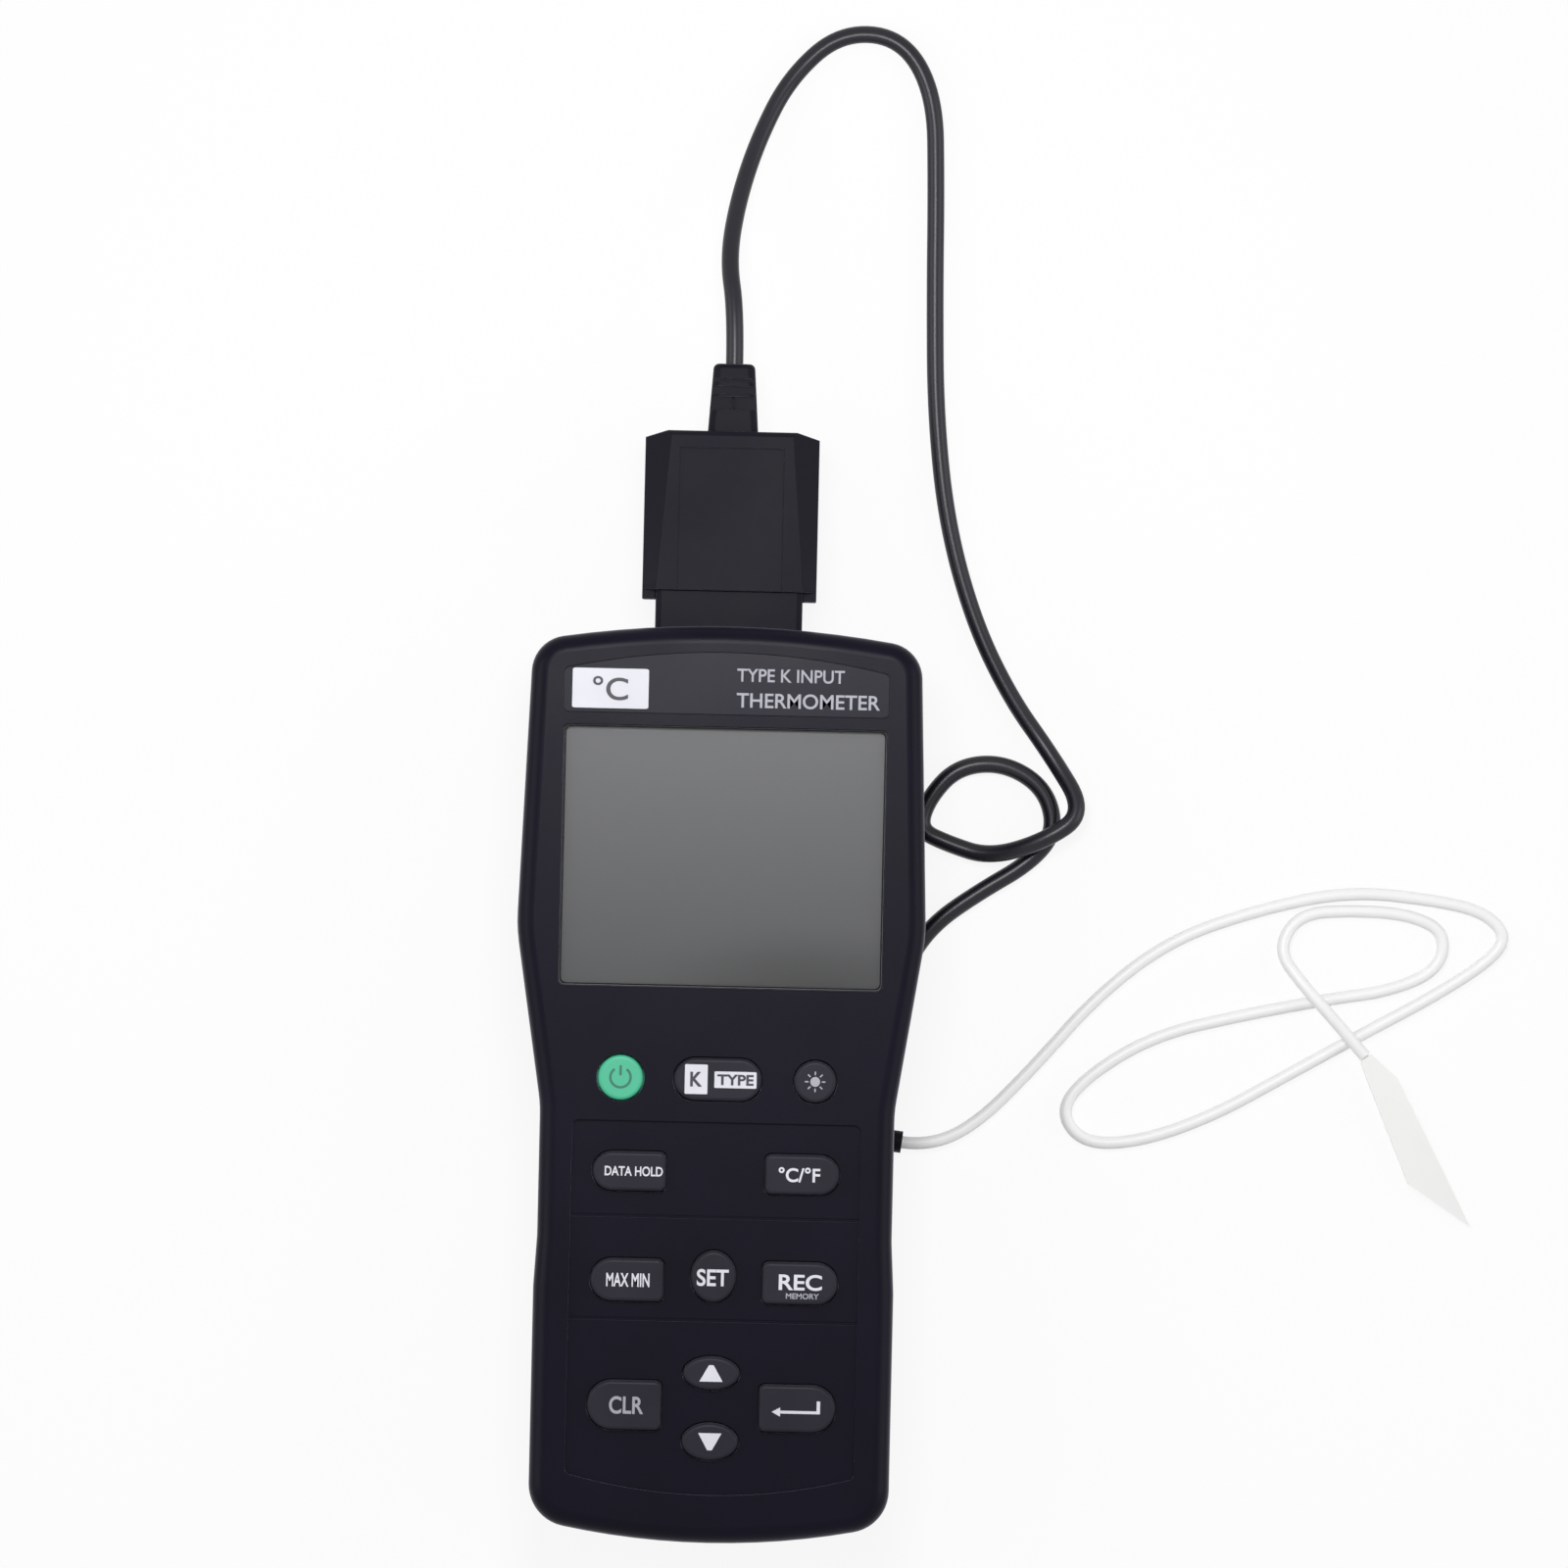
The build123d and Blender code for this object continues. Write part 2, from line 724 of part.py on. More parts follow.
# Rear case: boat-shaped shell with the battery bay, screw bosses and the socket's cradle
with BuildPart() as rear_case:
    loft(hull_outlines(hull_heights, 0))
    # Lip that enters the front case
    extrude(case_outline(parting_height, case_wall / 2 + lip_gap, case_wall / 2 + lip_gap), amount=lip_height)
    extrude(case_outline(parting_height, case_wall, case_wall), amount=lip_height, mode=Mode.SUBTRACT)
    loft(hull_outlines([back_wall] + hull_heights[1:], case_wall), mode=Mode.SUBTRACT)
    # Tray of the battery bay and the thick rim that the door lies on
    with BuildSketch(Plane.XY.offset(back_wall)):
        with Locations((0, bay_centre)):
            Rectangle(bay_width + 2 * bay_wall, bay_length + 2 * bay_wall)
    extrude(amount=bay_roof + bay_wall - back_wall)
    extrude(door_outline(door_seat, door_ledge), amount=bay_wall)
    with BuildSketch(Plane.XY.offset(door_seat)):
        with Locations(*door_screw_places):
            Circle(door_screw_radius + screw_grip_gap + boss_wall)
    extrude(amount=door_screw_length)
    # Bosses of the case screws
    with BuildSketch(Plane.XY.offset(back_wall / 2)):
        with Locations(*case_screw_places):
            Circle(screw_head_radius + counterbore_gap + boss_wall / 2)
    extrude(amount=parting_height - lip_gap - back_wall / 2)
    # Cradle of the input socket
    with BuildSketch(Plane.XY.offset(back_wall / 2)):
        with Locations(*[(0, y) for y in socket_rib_lines]):
            Rectangle(socket_rib_width, socket_rib)
    extrude(amount=socket_bottom - back_wall / 2)
    # Seat of the door, bay and screw holes
    extrude(door_outline(0, door_gap), amount=door_seat, mode=Mode.SUBTRACT)
    with BuildSketch():
        with Locations((0, bay_centre)):
            Rectangle(bay_width, bay_length)
    extrude(amount=bay_roof, mode=Mode.SUBTRACT)
    with BuildSketch():
        with Locations(*door_screw_places):
            Circle(door_screw_radius + screw_grip_gap)
    extrude(amount=door_seat + door_screw_length - bay_wall, mode=Mode.SUBTRACT)
    with BuildSketch():
        with Locations(*case_screw_places):
            Circle(screw_head_radius + counterbore_gap)
    extrude(amount=screw_seat_height, mode=Mode.SUBTRACT)
    with BuildSketch():
        with Locations(*case_screw_places):
            Circle(screw_radius + screw_hole_gap)
    extrude(amount=parting_height, mode=Mode.SUBTRACT)
    # Back half of the opening for the plug
    with BuildSketch(across(case_end)):
        Rectangle(nose_width + 2 * nose_gap, nose_thickness + 2 * nose_gap)
    extrude(amount=case_end - socket_front, mode=Mode.SUBTRACT)
save(rear_case.part, "rear_case")

with BuildPart() as case_screws:
    with BuildSketch(Plane.XY.offset(screw_seat_height)):
        with Locations(*case_screw_places):
            Circle(screw_head_radius)
    extrude(amount=-screw_head_height)
    with BuildSketch(Plane.XY.offset(screw_seat_height)):
        with Locations(*case_screw_places):
            Circle(screw_radius)
    extrude(amount=parting_height + screw_reach - screw_seat_height)
save(case_screws.part, "case_screws")

with BuildPart() as label_plate:
    extrude(label_outline(case_depth - label_depth, -fit_gap), amount=label_thickness)
save(label_plate.part, "label_plate")

with BuildPart() as display_window:
    extrude(window_outline(window_seat, -fit_gap), amount=window_thickness)
    chamfer(display_window.faces().sort_by(Axis.Z)[-1].edges(), window_bevel)
save(display_window.part, "display_window")

# Display: glass in a frame on the board, joined to it by two rubber contact strips
with BuildPart() as display_glass:
    extrude(window_outline(glass_back, glass_margin - window_lip), amount=glass_thickness)
save(display_glass.part, "display_glass")

with BuildPart() as display_frame:
    glass_seat = glass_margin - window_lip + fit_gap
    frame_outline = window_outline(board_front, glass_seat + display_frame_wall)
    extrude(frame_outline, amount=glass_front - board_front)
    extrude(window_outline(glass_back, glass_seat), amount=glass_thickness, mode=Mode.SUBTRACT)
    with BuildSketch(Plane.XY.offset(board_front)):
        with Locations((0, window_centre)):
            Rectangle(strip_length + 2 * fit_gap, 2 * (strip_line + strip_width / 2 + fit_gap))
    extrude(amount=glass_back - board_front, mode=Mode.SUBTRACT)
save(display_frame.part, "display_frame")

with BuildPart() as contact_strips:
    with BuildSketch(Plane.XY.offset(board_front)):
        with Locations((0, window_centre - strip_line), (0, window_centre + strip_line)):
            Rectangle(strip_length, strip_width)
    extrude(amount=glass_back - board_front)
save(contact_strips.part, "contact_strips")

# Circuit board with its chip and buzzer on the back, held by four screws
with BuildPart() as circuit_board:
    with BuildSketch(Plane.XY.offset(board_height)):
        with Locations((0, (board_top + board_bottom) / 2)):
            RectangleRounded(board_width, board_top - board_bottom, board_corner)
    extrude(amount=board_thickness)
    with BuildSketch(Plane.XY.offset(board_height)):
        with Locations(*post_places):
            Circle(board_screw_radius + screw_hole_gap)
    extrude(amount=board_thickness, mode=Mode.SUBTRACT)
save(circuit_board.part, "circuit_board")

with BuildPart() as board_screws:
    with BuildSketch(Plane.XY.offset(board_height)):
        with Locations(*post_places):
            Circle(board_screw_head)
    extrude(amount=-board_screw_head_height)
    with BuildSketch(Plane.XY.offset(board_height)):
        with Locations(*post_places):
            Circle(board_screw_radius)
    extrude(amount=board_screw_length)
save(board_screws.part, "board_screws")

with BuildPart() as main_chip:
    with BuildSketch(Plane.XY.offset(board_height)):
        with Locations((0, chip_line)):
            RectangleRounded(chip_width, chip_width, chip_corner)
    extrude(amount=-chip_thickness)
save(main_chip.part, "main_chip")

with BuildPart() as buzzer:
    with BuildSketch(Plane.XY.offset(board_height)):
        with Locations(buzzer_place):
            Circle(buzzer_radius)
    extrude(amount=-buzzer_height)
    with BuildSketch(Plane.XY.offset(board_height - buzzer_height)):
        with Locations(buzzer_place):
            Circle(buzzer_port)
    extrude(amount=buzzer_height / 2, mode=Mode.SUBTRACT)
save(buzzer.part, "buzzer")

# Silicone key mat with a dome under each key
with BuildPart() as key_mat:
    with BuildSketch(Plane.XY.offset(board_front)):
        with Locations((0, (mat_top + mat_bottom) / 2)):
            RectangleRounded(mat_width, mat_top - mat_bottom, board_corner)
    extrude(amount=mat_thickness)
    for key in keys:
        extrude(key_outline(key, mat_front, -dome_inset), amount=flange_back - dome_gap - mat_front)
save(key_mat.part, "key_mat")

# Keys: a cap through the front wall with a flange behind it
for key in keys:
    with BuildPart() as key_cap:
        extrude(key_outline(key, flange_back, key_flange), amount=key_flange_thickness)
        extrude(key_outline(key, flange_back, 0), amount=case_depth + key_rise - flange_back)
        fillet(key_cap.faces().sort_by(Axis.Z)[-1].edges(), key_edge_round)
    save(key_cap.part, key[0])

# Battery bay: cells, contacts, door and its screws
for index in range(cell_count):
    column = (index - (cell_count - 1) / 2) * cell_pitch
    way = 1 if index % 2 == 0 else -1
    cap_end = bay_centre + way * (bay_length / 2 - contact_thickness - contact_gap)
    shoulder_end = cap_end - way * cell_cap_height
    plane = Plane(origin=(column, shoulder_end, cell_height), x_dir=(1, 0, 0), z_dir=(0, way, 0))
    with BuildPart() as cell:
        with BuildSketch(plane):
            Circle(cell_radius)
        extrude(amount=-cell_length)
        with BuildSketch(plane):
            Circle(cell_cap_radius)
        extrude(amount=cell_cap_height)
        fillet(cell.edges().filter_by(GeomType.CIRCLE).group_by(SortBy.RADIUS)[-1], cell_edge_round)
    save(cell.part, f"battery_cell_{index + 1}")

with BuildPart() as battery_contacts:
    for index in range(cell_count):
        column = (index - (cell_count - 1) / 2) * cell_pitch
        way = 1 if index % 2 == 0 else -1
        reach = bay_length / 2
        for end in (-1, 1):
            wall_plane = Plane(
                origin=(column, bay_centre + end * reach, cell_height),
                x_dir=(1, 0, 0),
                z_dir=(0, -end, 0),
            )
            with BuildSketch(wall_plane):
                Rectangle(contact_size, contact_size)
            extrude(amount=contact_thickness)
        spring_end = bay_centre - way * (reach - contact_thickness)
        spring_plane = Plane(origin=(column, spring_end, cell_height), x_dir=(1, 0, 0), z_dir=(0, way, 0))
        with BuildSketch(spring_plane):
            Circle(spring_radius)
        with BuildSketch(spring_plane.offset(spring_length)):
            Circle(spring_radius * spring_taper)
        loft()
save(battery_contacts.part, "battery_contacts")

with BuildPart() as battery_door:
    extrude(door_outline(door_sink, 0), amount=door_thickness)
    chamfer(battery_door.faces().sort_by(Axis.Z)[0].edges(), door_bevel)
    with BuildSketch(Plane.XY.offset(door_sink)):
        with Locations(*door_screw_places):
            Circle(door_screw_radius + screw_hole_gap)
    extrude(amount=door_thickness, mode=Mode.SUBTRACT)
    with BuildSketch(Plane.XY.offset(door_sink)):
        with Locations(*door_screw_places):
            Circle(door_screw_head_radius + screw_hole_gap)
    extrude(amount=door_screw_head_height, mode=Mode.SUBTRACT)
save(battery_door.part, "battery_door")

with BuildPart() as door_screws:
    with BuildSketch(Plane.XY.offset(door_sink)):
        with Locations(*door_screw_places):
            Circle(door_screw_head_radius)
    extrude(amount=door_screw_head_height)
    with BuildSketch(Plane.XY.offset(door_sink)):
        with Locations(*door_screw_places):
            Circle(door_screw_radius)
    extrude(amount=door_screw_length)
save(door_screws.part, "door_screws")

# Input socket: block with two slots and a bent contact strip in each
with BuildPart() as input_socket:
    with BuildSketch(across(socket_front)):
        RectangleRounded(socket_width, socket_thickness, socket_corner)
    extrude(amount=socket_length)
    for x, width in blade_places:
        with BuildSketch(across(socket_front)):
            with Locations((x, slot_centre)):
                Rectangle(width + 2 * nose_gap, slot_height)
        extrude(amount=socket_length, mode=Mode.SUBTRACT)
save(input_socket.part, "input_socket")

with BuildPart() as socket_contacts:
    strip_plane = Plane(origin=(0, 0, 0), x_dir=(0, 1, 0), z_dir=(1, 0, 0))
    for x, width in blade_places:
        with BuildSketch(strip_plane.offset(x - width / 2)):
            with BuildLine() as bend:
                Polyline(
                    (socket_front - strip_setback, strip_height),
                    (socket_back - strip_tail, strip_height),
                    (socket_back - strip_tail, board_height),
                )
            make_face(offset(bend.line, socket_strip_thickness, side=Side.LEFT, closed=True).edges())
        extrude(amount=width)
save(socket_contacts.part, "socket_contacts")

# Probe plug: two half shells round a nose with two flat blades, and a ribbed strain relief
save(plug_half(1), "plug_front")
save(plug_half(-1), "plug_back")

with BuildPart() as plug_nose:
    with BuildSketch(across(nose_seat)):
        RectangleRounded(nose_width, nose_thickness, nose_corner)
    extrude(amount=nose_seat - nose_end)
    chamfer(plug_nose.faces().sort_by(Axis.Y)[0].edges(), nose_bevel)
    with BuildSketch(across(nose_seat + plug_wall + nose_fit)):
        Rectangle(nose_neck_width, nose_neck_thickness)
    extrude(amount=plug_wall + nose_fit)
    with BuildSketch(across(nose_seat + plug_wall + nose_fit + nose_flange)):
        Rectangle(plug_cavity_width - 2 * nose_fit, plug_cavity_thickness - 2 * nose_fit)
    extrude(amount=nose_flange)
    for x, width in blade_places:
        with BuildSketch(across(plug_start + plug_length)):
            with Locations((x, 0)):
                Rectangle(width + blade_gap, blade_thickness + blade_gap)
        extrude(amount=plug_start + plug_length - nose_end, mode=Mode.SUBTRACT)
save(plug_nose.part, "plug_nose")

with BuildPart() as plug_blades:
    for x, width in blade_places:
        with BuildSketch(across(blade_tail)):
            with Locations((x, 0)):
                Rectangle(width, blade_thickness)
        extrude(amount=blade_tail - nose_end + blade_reach)
    chamfer(plug_blades.faces().group_by(Axis.Y)[0].edges().filter_by(Axis.X), blade_bevel)
save(plug_blades.part, "plug_blades")

with BuildPart() as strain_relief:
    relief_seat = relief_start + nose_fit
    with BuildSketch(across(relief_seat)):
        RectangleRounded(relief_base, relief_base * relief_flatness, relief_corner)
    with BuildSketch(across(cord_start)):
        RectangleRounded(relief_end, relief_end * relief_flatness, relief_corner)
    loft()
    fillet(strain_relief.faces().sort_by(Axis.Y)[-1].edges(), relief_end_round)
    # Slots across the front and the back, with a thin spine left in the first
    slot_floor = relief_base * (1 - relief_flatness) + relief_slot_depth
    for side in (-1, 1):
        for rise, width in relief_slots:
            with BuildSketch(Plane.XY.offset(plug_height + side * relief_base / 2)):
                with Locations((0, relief_start + rise)):
                    Rectangle(relief_base, width)
            extrude(amount=-side * slot_floor, mode=Mode.SUBTRACT)
    first_rise, first_width = relief_slots[0]
    with BuildSketch(across(relief_start + first_rise + first_width / 2)):
        Rectangle(relief_spine, relief_end * relief_flatness)
    extrude(amount=first_width)
    # Neck through the plug's end wall and the flange behind it
    with BuildSketch(across(relief_seat)):
        Circle(relief_neck / 2)
    extrude(amount=plug_wall + 2 * nose_fit)
    with BuildSketch(across(relief_start - plug_wall - nose_fit)):
        Circle(relief_flange / 2)
    extrude(amount=relief_flange_thickness)
save(strain_relief.part, "strain_relief")

# Cords: black cord to a short sleeve, pale lead on from it, and the flat sensor at its end
save(cord(black_route, cord_radius), "black_cord")
save(cord(pale_route, lead_radius), "pale_lead")

sleeve_way = Vector(*black_route[-1]) - Vector(*black_route[-2])
with BuildPart() as lead_sleeve:
    with BuildSketch(Plane(origin=black_route[-1], z_dir=sleeve_way)):
        Circle(sleeve_radius)
        Circle(cord_radius + sleeve_gap, mode=Mode.SUBTRACT)
    extrude(amount=-sleeve_on_cord)
save(lead_sleeve.part, "lead_sleeve")

# Sensor: a flat leaf-shaped tip that leans from the lead's end down to the table
tip_root = Vector(*pale_route[-1])
tip_way = tip_point - tip_root
tip_side = Vector(-tip_way.Y, tip_way.X, 0)
tip_length = tip_way.length
with BuildPart() as sensor_tip:
    with BuildSketch(Plane(origin=tip_root, x_dir=tip_way, z_dir=tip_way.cross(tip_side))):
        with BuildLine():
            Polyline(
                (tip_gap, -lead_radius),
                (tip_gap, lead_radius),
                (tip_shoulder, tip_shoulder_width),
                (tip_length, 0),
                (tip_corner, -tip_corner_width),
                (tip_shoulder / 2, -tip_shoulder_width * tip_lean),
                (tip_gap, -lead_radius),
            )
        make_face()
    extrude(amount=tip_thickness / 2, both=True)
    chamfer(sensor_tip.faces().sort_by(Axis.Z)[-1].edges(), tip_edge)
save(sensor_tip.part, "sensor_tip")
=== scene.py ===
from math import pi, radians

import bmesh
import bpy
from mathutils import Matrix, Vector


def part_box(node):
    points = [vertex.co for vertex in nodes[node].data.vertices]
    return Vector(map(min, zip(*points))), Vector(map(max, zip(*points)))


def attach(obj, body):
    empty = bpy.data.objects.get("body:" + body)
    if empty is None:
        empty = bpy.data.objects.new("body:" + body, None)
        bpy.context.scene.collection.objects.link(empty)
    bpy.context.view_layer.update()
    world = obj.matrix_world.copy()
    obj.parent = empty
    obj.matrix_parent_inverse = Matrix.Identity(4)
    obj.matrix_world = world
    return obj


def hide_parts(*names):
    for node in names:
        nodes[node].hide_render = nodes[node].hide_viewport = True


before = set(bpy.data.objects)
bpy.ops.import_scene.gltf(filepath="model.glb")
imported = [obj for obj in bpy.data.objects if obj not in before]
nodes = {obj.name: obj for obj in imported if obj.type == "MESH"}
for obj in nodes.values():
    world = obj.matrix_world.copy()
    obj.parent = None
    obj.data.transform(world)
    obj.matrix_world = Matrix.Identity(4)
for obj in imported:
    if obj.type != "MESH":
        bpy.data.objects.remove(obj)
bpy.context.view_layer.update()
collection = bpy.context.scene.collection

# Camera: it looks straight down on the meter from two metres, and is turned a little, so that
# the meter leans clockwise as in the photograph.
camera_lean = radians(1.3)
camera = bpy.data.objects.new("camera", bpy.data.cameras.new("camera"))
camera.location = (0.010438, 0.053165, 2.0)
camera.rotation_euler = (0, 0, camera_lean)
camera.data.sensor_width = 36.0
camera.data.lens = 256.9
collection.objects.link(camera)
bpy.context.scene.camera = camera

# Table: plain white, seen as white by the camera and by whatever mirrors it, and still taking
# the object's faint shadow. The even pale surround goes with it.
table_size = 6.0
table_shine = 0.88
table_drop = 0.0001
table_tone = (0.9, 0.9, 0.9, 1)
surround_light = 0.34


def white_to_the_eye(tree):
    """Socket that is 1 where the camera, a reflection or a see-through piece looks, else 0"""
    path = tree.nodes.new("ShaderNodeLightPath")
    first = tree.nodes.new("ShaderNodeMath")
    first.operation = "MAXIMUM"
    tree.links.new(path.outputs["Is Camera Ray"], first.inputs[0])
    tree.links.new(path.outputs["Is Glossy Ray"], first.inputs[1])
    second = tree.nodes.new("ShaderNodeMath")
    second.operation = "MAXIMUM"
    tree.links.new(first.outputs[0], second.inputs[0])
    tree.links.new(path.outputs["Is Transmission Ray"], second.inputs[1])
    return second.outputs[0]


mesh = bpy.data.meshes.new("table")
form = bmesh.new()
bmesh.ops.create_grid(form, x_segments=1, y_segments=1, size=table_size / 2)
bmesh.ops.translate(form, vec=(0, 0, -table_drop), verts=form.verts)
form.to_mesh(mesh)
form.free()
table = bpy.data.objects.new("table", mesh)
collection.objects.link(table)
paper = bpy.data.materials.new("white_paper")
paper.use_nodes = True
tree = paper.node_tree
shader = tree.nodes["Principled BSDF"]
shader.inputs["Base Color"].default_value = table_tone
shader.inputs["Roughness"].default_value = 0.9
shader.inputs["Specular IOR Level"].default_value = 0.0
glow = tree.nodes.new("ShaderNodeEmission")
share = tree.nodes.new("ShaderNodeMath")
share.operation = "MULTIPLY"
share.inputs[1].default_value = table_shine
mix = tree.nodes.new("ShaderNodeMixShader")
tree.links.new(white_to_the_eye(tree), share.inputs[0])
tree.links.new(share.outputs[0], mix.inputs["Fac"])
tree.links.new(shader.outputs["BSDF"], mix.inputs[1])
tree.links.new(glow.outputs["Emission"], mix.inputs[2])
tree.links.new(mix.outputs["Shader"], tree.nodes["Material Output"].inputs["Surface"])
mesh.materials.append(paper)

world = bpy.data.worlds.new("surround")
world.use_nodes = True
bpy.context.scene.world = world
tree = world.node_tree
tree.nodes["Background"].inputs["Color"].default_value = (1, 1, 1, 1)
strength = tree.nodes.new("ShaderNodeMapRange")
strength.inputs["To Min"].default_value = surround_light
strength.inputs["To Max"].default_value = 1.0
tree.links.new(white_to_the_eye(tree), strength.inputs["Value"])
tree.links.new(strength.outputs["Result"], tree.nodes["Background"].inputs["Strength"])


# Light: a small lamp over the meter's top end, that its head mirrors more than its grip does, and
# a wide soft one far out on each side, for the faint lights along the case's flanks.
def soft_lamp(name, place, aim, size, power):
    """Square lamp that isn't itself seen"""
    lamp = bpy.data.objects.new(name, bpy.data.lights.new(name, "AREA"))
    lamp.data.size = size
    lamp.data.energy = power
    lamp.location = place
    lamp.rotation_euler = (Vector(place) - Vector(aim)).to_track_quat("Z", "Y").to_euler()
    lamp.visible_camera = False
    collection.objects.link(lamp)


head = (0, 0.05, 0.02)
middle = (0, 0, 0.02)
soft_lamp("top_lamp", (-0.005, 0.15, 0.42), head, size=0.12, power=1.0)
soft_lamp("left_lamp", (-0.9, 0.1, 0.6), middle, size=0.7, power=2.8)
soft_lamp("right_lamp", (0.9, 0.1, 0.5), middle, size=0.7, power=2.5)

bpy.context.scene.view_settings.view_transform = "Standard"


# Probe plug: two half shells of dark plastic that close on a nose with two flat blades of bright
# alloy, and a softer strain relief with slots, moulded onto the cord.
bloom_spread = 0.35
bloom_tint = (0.75, 0.75, 1, 1)
drifts_per_metre = 70
roughness_swing = 0.06


def moulded(name, tone, roughness, grain, relief, shine=0.5, drift=0.15, bloom=0.0):
    """Finish of a moulded piece: a fine grain in relief, and slow drifts of tone and gloss"""
    material = bpy.data.materials.new(name)
    material.use_nodes = True
    tree = material.node_tree
    shader = tree.nodes["Principled BSDF"]
    shader.inputs["Specular IOR Level"].default_value = shine
    shader.inputs["Sheen Weight"].default_value = bloom
    shader.inputs["Sheen Roughness"].default_value = bloom_spread
    shader.inputs["Sheen Tint"].default_value = bloom_tint
    place = tree.nodes.new("ShaderNodeTexCoord")
    slow = tree.nodes.new("ShaderNodeTexNoise")
    slow.inputs["Scale"].default_value = drifts_per_metre
    slow.inputs["Detail"].default_value = 4
    tree.links.new(place.outputs["Object"], slow.inputs["Vector"])
    tones = tree.nodes.new("ShaderNodeValToRGB")
    tones.color_ramp.elements[0].position = 0.3
    tones.color_ramp.elements[0].color = (*[part * (1 - drift) for part in tone], 1)
    tones.color_ramp.elements[1].position = 0.7
    tones.color_ramp.elements[1].color = (*[part * (1 + drift) for part in tone], 1)
    tree.links.new(slow.outputs["Fac"], tones.inputs["Fac"])
    tree.links.new(tones.outputs["Color"], shader.inputs["Base Color"])
    glosses = tree.nodes.new("ShaderNodeMapRange")
    glosses.inputs["To Min"].default_value = roughness - roughness_swing
    glosses.inputs["To Max"].default_value = roughness + roughness_swing
    tree.links.new(slow.outputs["Fac"], glosses.inputs["Value"])
    tree.links.new(glosses.outputs["Result"], shader.inputs["Roughness"])
    fine = tree.nodes.new("ShaderNodeTexNoise")
    fine.inputs["Scale"].default_value = 1 / grain
    fine.inputs["Detail"].default_value = 2
    tree.links.new(place.outputs["Object"], fine.inputs["Vector"])
    bump = tree.nodes.new("ShaderNodeBump")
    bump.inputs["Strength"].default_value = 1
    bump.inputs["Distance"].default_value = relief
    tree.links.new(fine.outputs["Fac"], bump.inputs["Height"])
    tree.links.new(bump.outputs["Normal"], shader.inputs["Normal"])
    return material


def finished(form, name, body, slot, finish, *replaced):
    """Piece made of its form, in its finish, that rides on its body and stands for its nodes"""
    mesh = bpy.data.meshes.new(name)
    form.to_mesh(mesh)
    form.free()
    mesh.materials.append(finish)
    piece = bpy.data.objects.new(name, mesh)
    collection.objects.link(piece)
    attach(piece, body)
    if replaced:
        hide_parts(*replaced)
    return piece


weld = 0.000001
flat_enough = radians(0.5)
sharp_edge = radians(30)
shading_break = radians(50)


def softened(node, name, width, body, slot, finish):
    """Piece with its made shape, and a small round on each of its sharp edges"""
    form = bmesh.new()
    form.from_mesh(nodes[node].data)
    bmesh.ops.remove_doubles(form, verts=form.verts, dist=weld)
    bmesh.ops.dissolve_limit(
        form, angle_limit=flat_enough, verts=form.verts, edges=form.edges, delimit={"NORMAL"}
    )
    bmesh.ops.bevel(
        form,
        geom=[edge for edge in form.edges if edge.calc_face_angle(0) > sharp_edge],
        offset=width,
        segments=2,
        profile=0.5,
        affect="EDGES",
        clamp_overlap=True,
        material=-1,
    )
    bmesh.ops.recalc_face_normals(form, faces=form.faces)
    for face in form.faces:
        face.smooth = True
    piece = finished(form, name, body, slot, finish, node)
    piece.data.set_sharp_from_angle(angle=shading_break)
    even = piece.modifiers.new("even_faces", "WEIGHTED_NORMAL")
    even.keep_sharp = True
    return piece


def dress(finish, *names):
    """Give pieces that were made in full already their finish"""
    for name in names:
        for slot in nodes[name].material_slots:
            slot.material = finish


streak_stretch = 0.05
streak_shade = 0.8
streak_polish = 0.08
streak_haze = 0.12


def rolled(name, tone, roughness, streak):
    """Finish of bright metal strip, wire or screws, with fine marks along its length"""
    material = bpy.data.materials.new(name)
    material.use_nodes = True
    tree = material.node_tree
    shader = tree.nodes["Principled BSDF"]
    shader.inputs["Metallic"].default_value = 1.0
    place = tree.nodes.new("ShaderNodeTexCoord")
    stretch = tree.nodes.new("ShaderNodeMapping")
    stretch.inputs["Scale"].default_value = (1, streak_stretch, 1)
    marks = tree.nodes.new("ShaderNodeTexNoise")
    marks.inputs["Scale"].default_value = 1 / streak
    marks.inputs["Detail"].default_value = 3
    tree.links.new(place.outputs["Object"], stretch.inputs["Vector"])
    tree.links.new(stretch.outputs["Vector"], marks.inputs["Vector"])
    tones = tree.nodes.new("ShaderNodeValToRGB")
    tones.color_ramp.elements[0].color = (*[part * streak_shade for part in tone], 1)
    tones.color_ramp.elements[1].color = (*tone, 1)
    tree.links.new(marks.outputs["Fac"], tones.inputs["Fac"])
    tree.links.new(tones.outputs["Color"], shader.inputs["Base Color"])
    glosses = tree.nodes.new("ShaderNodeMapRange")
    glosses.inputs["To Min"].default_value = roughness - streak_polish
    glosses.inputs["To Max"].default_value = roughness + streak_haze
    tree.links.new(marks.outputs["Fac"], glosses.inputs["Value"])
    tree.links.new(glosses.outputs["Result"], shader.inputs["Roughness"])
    return material


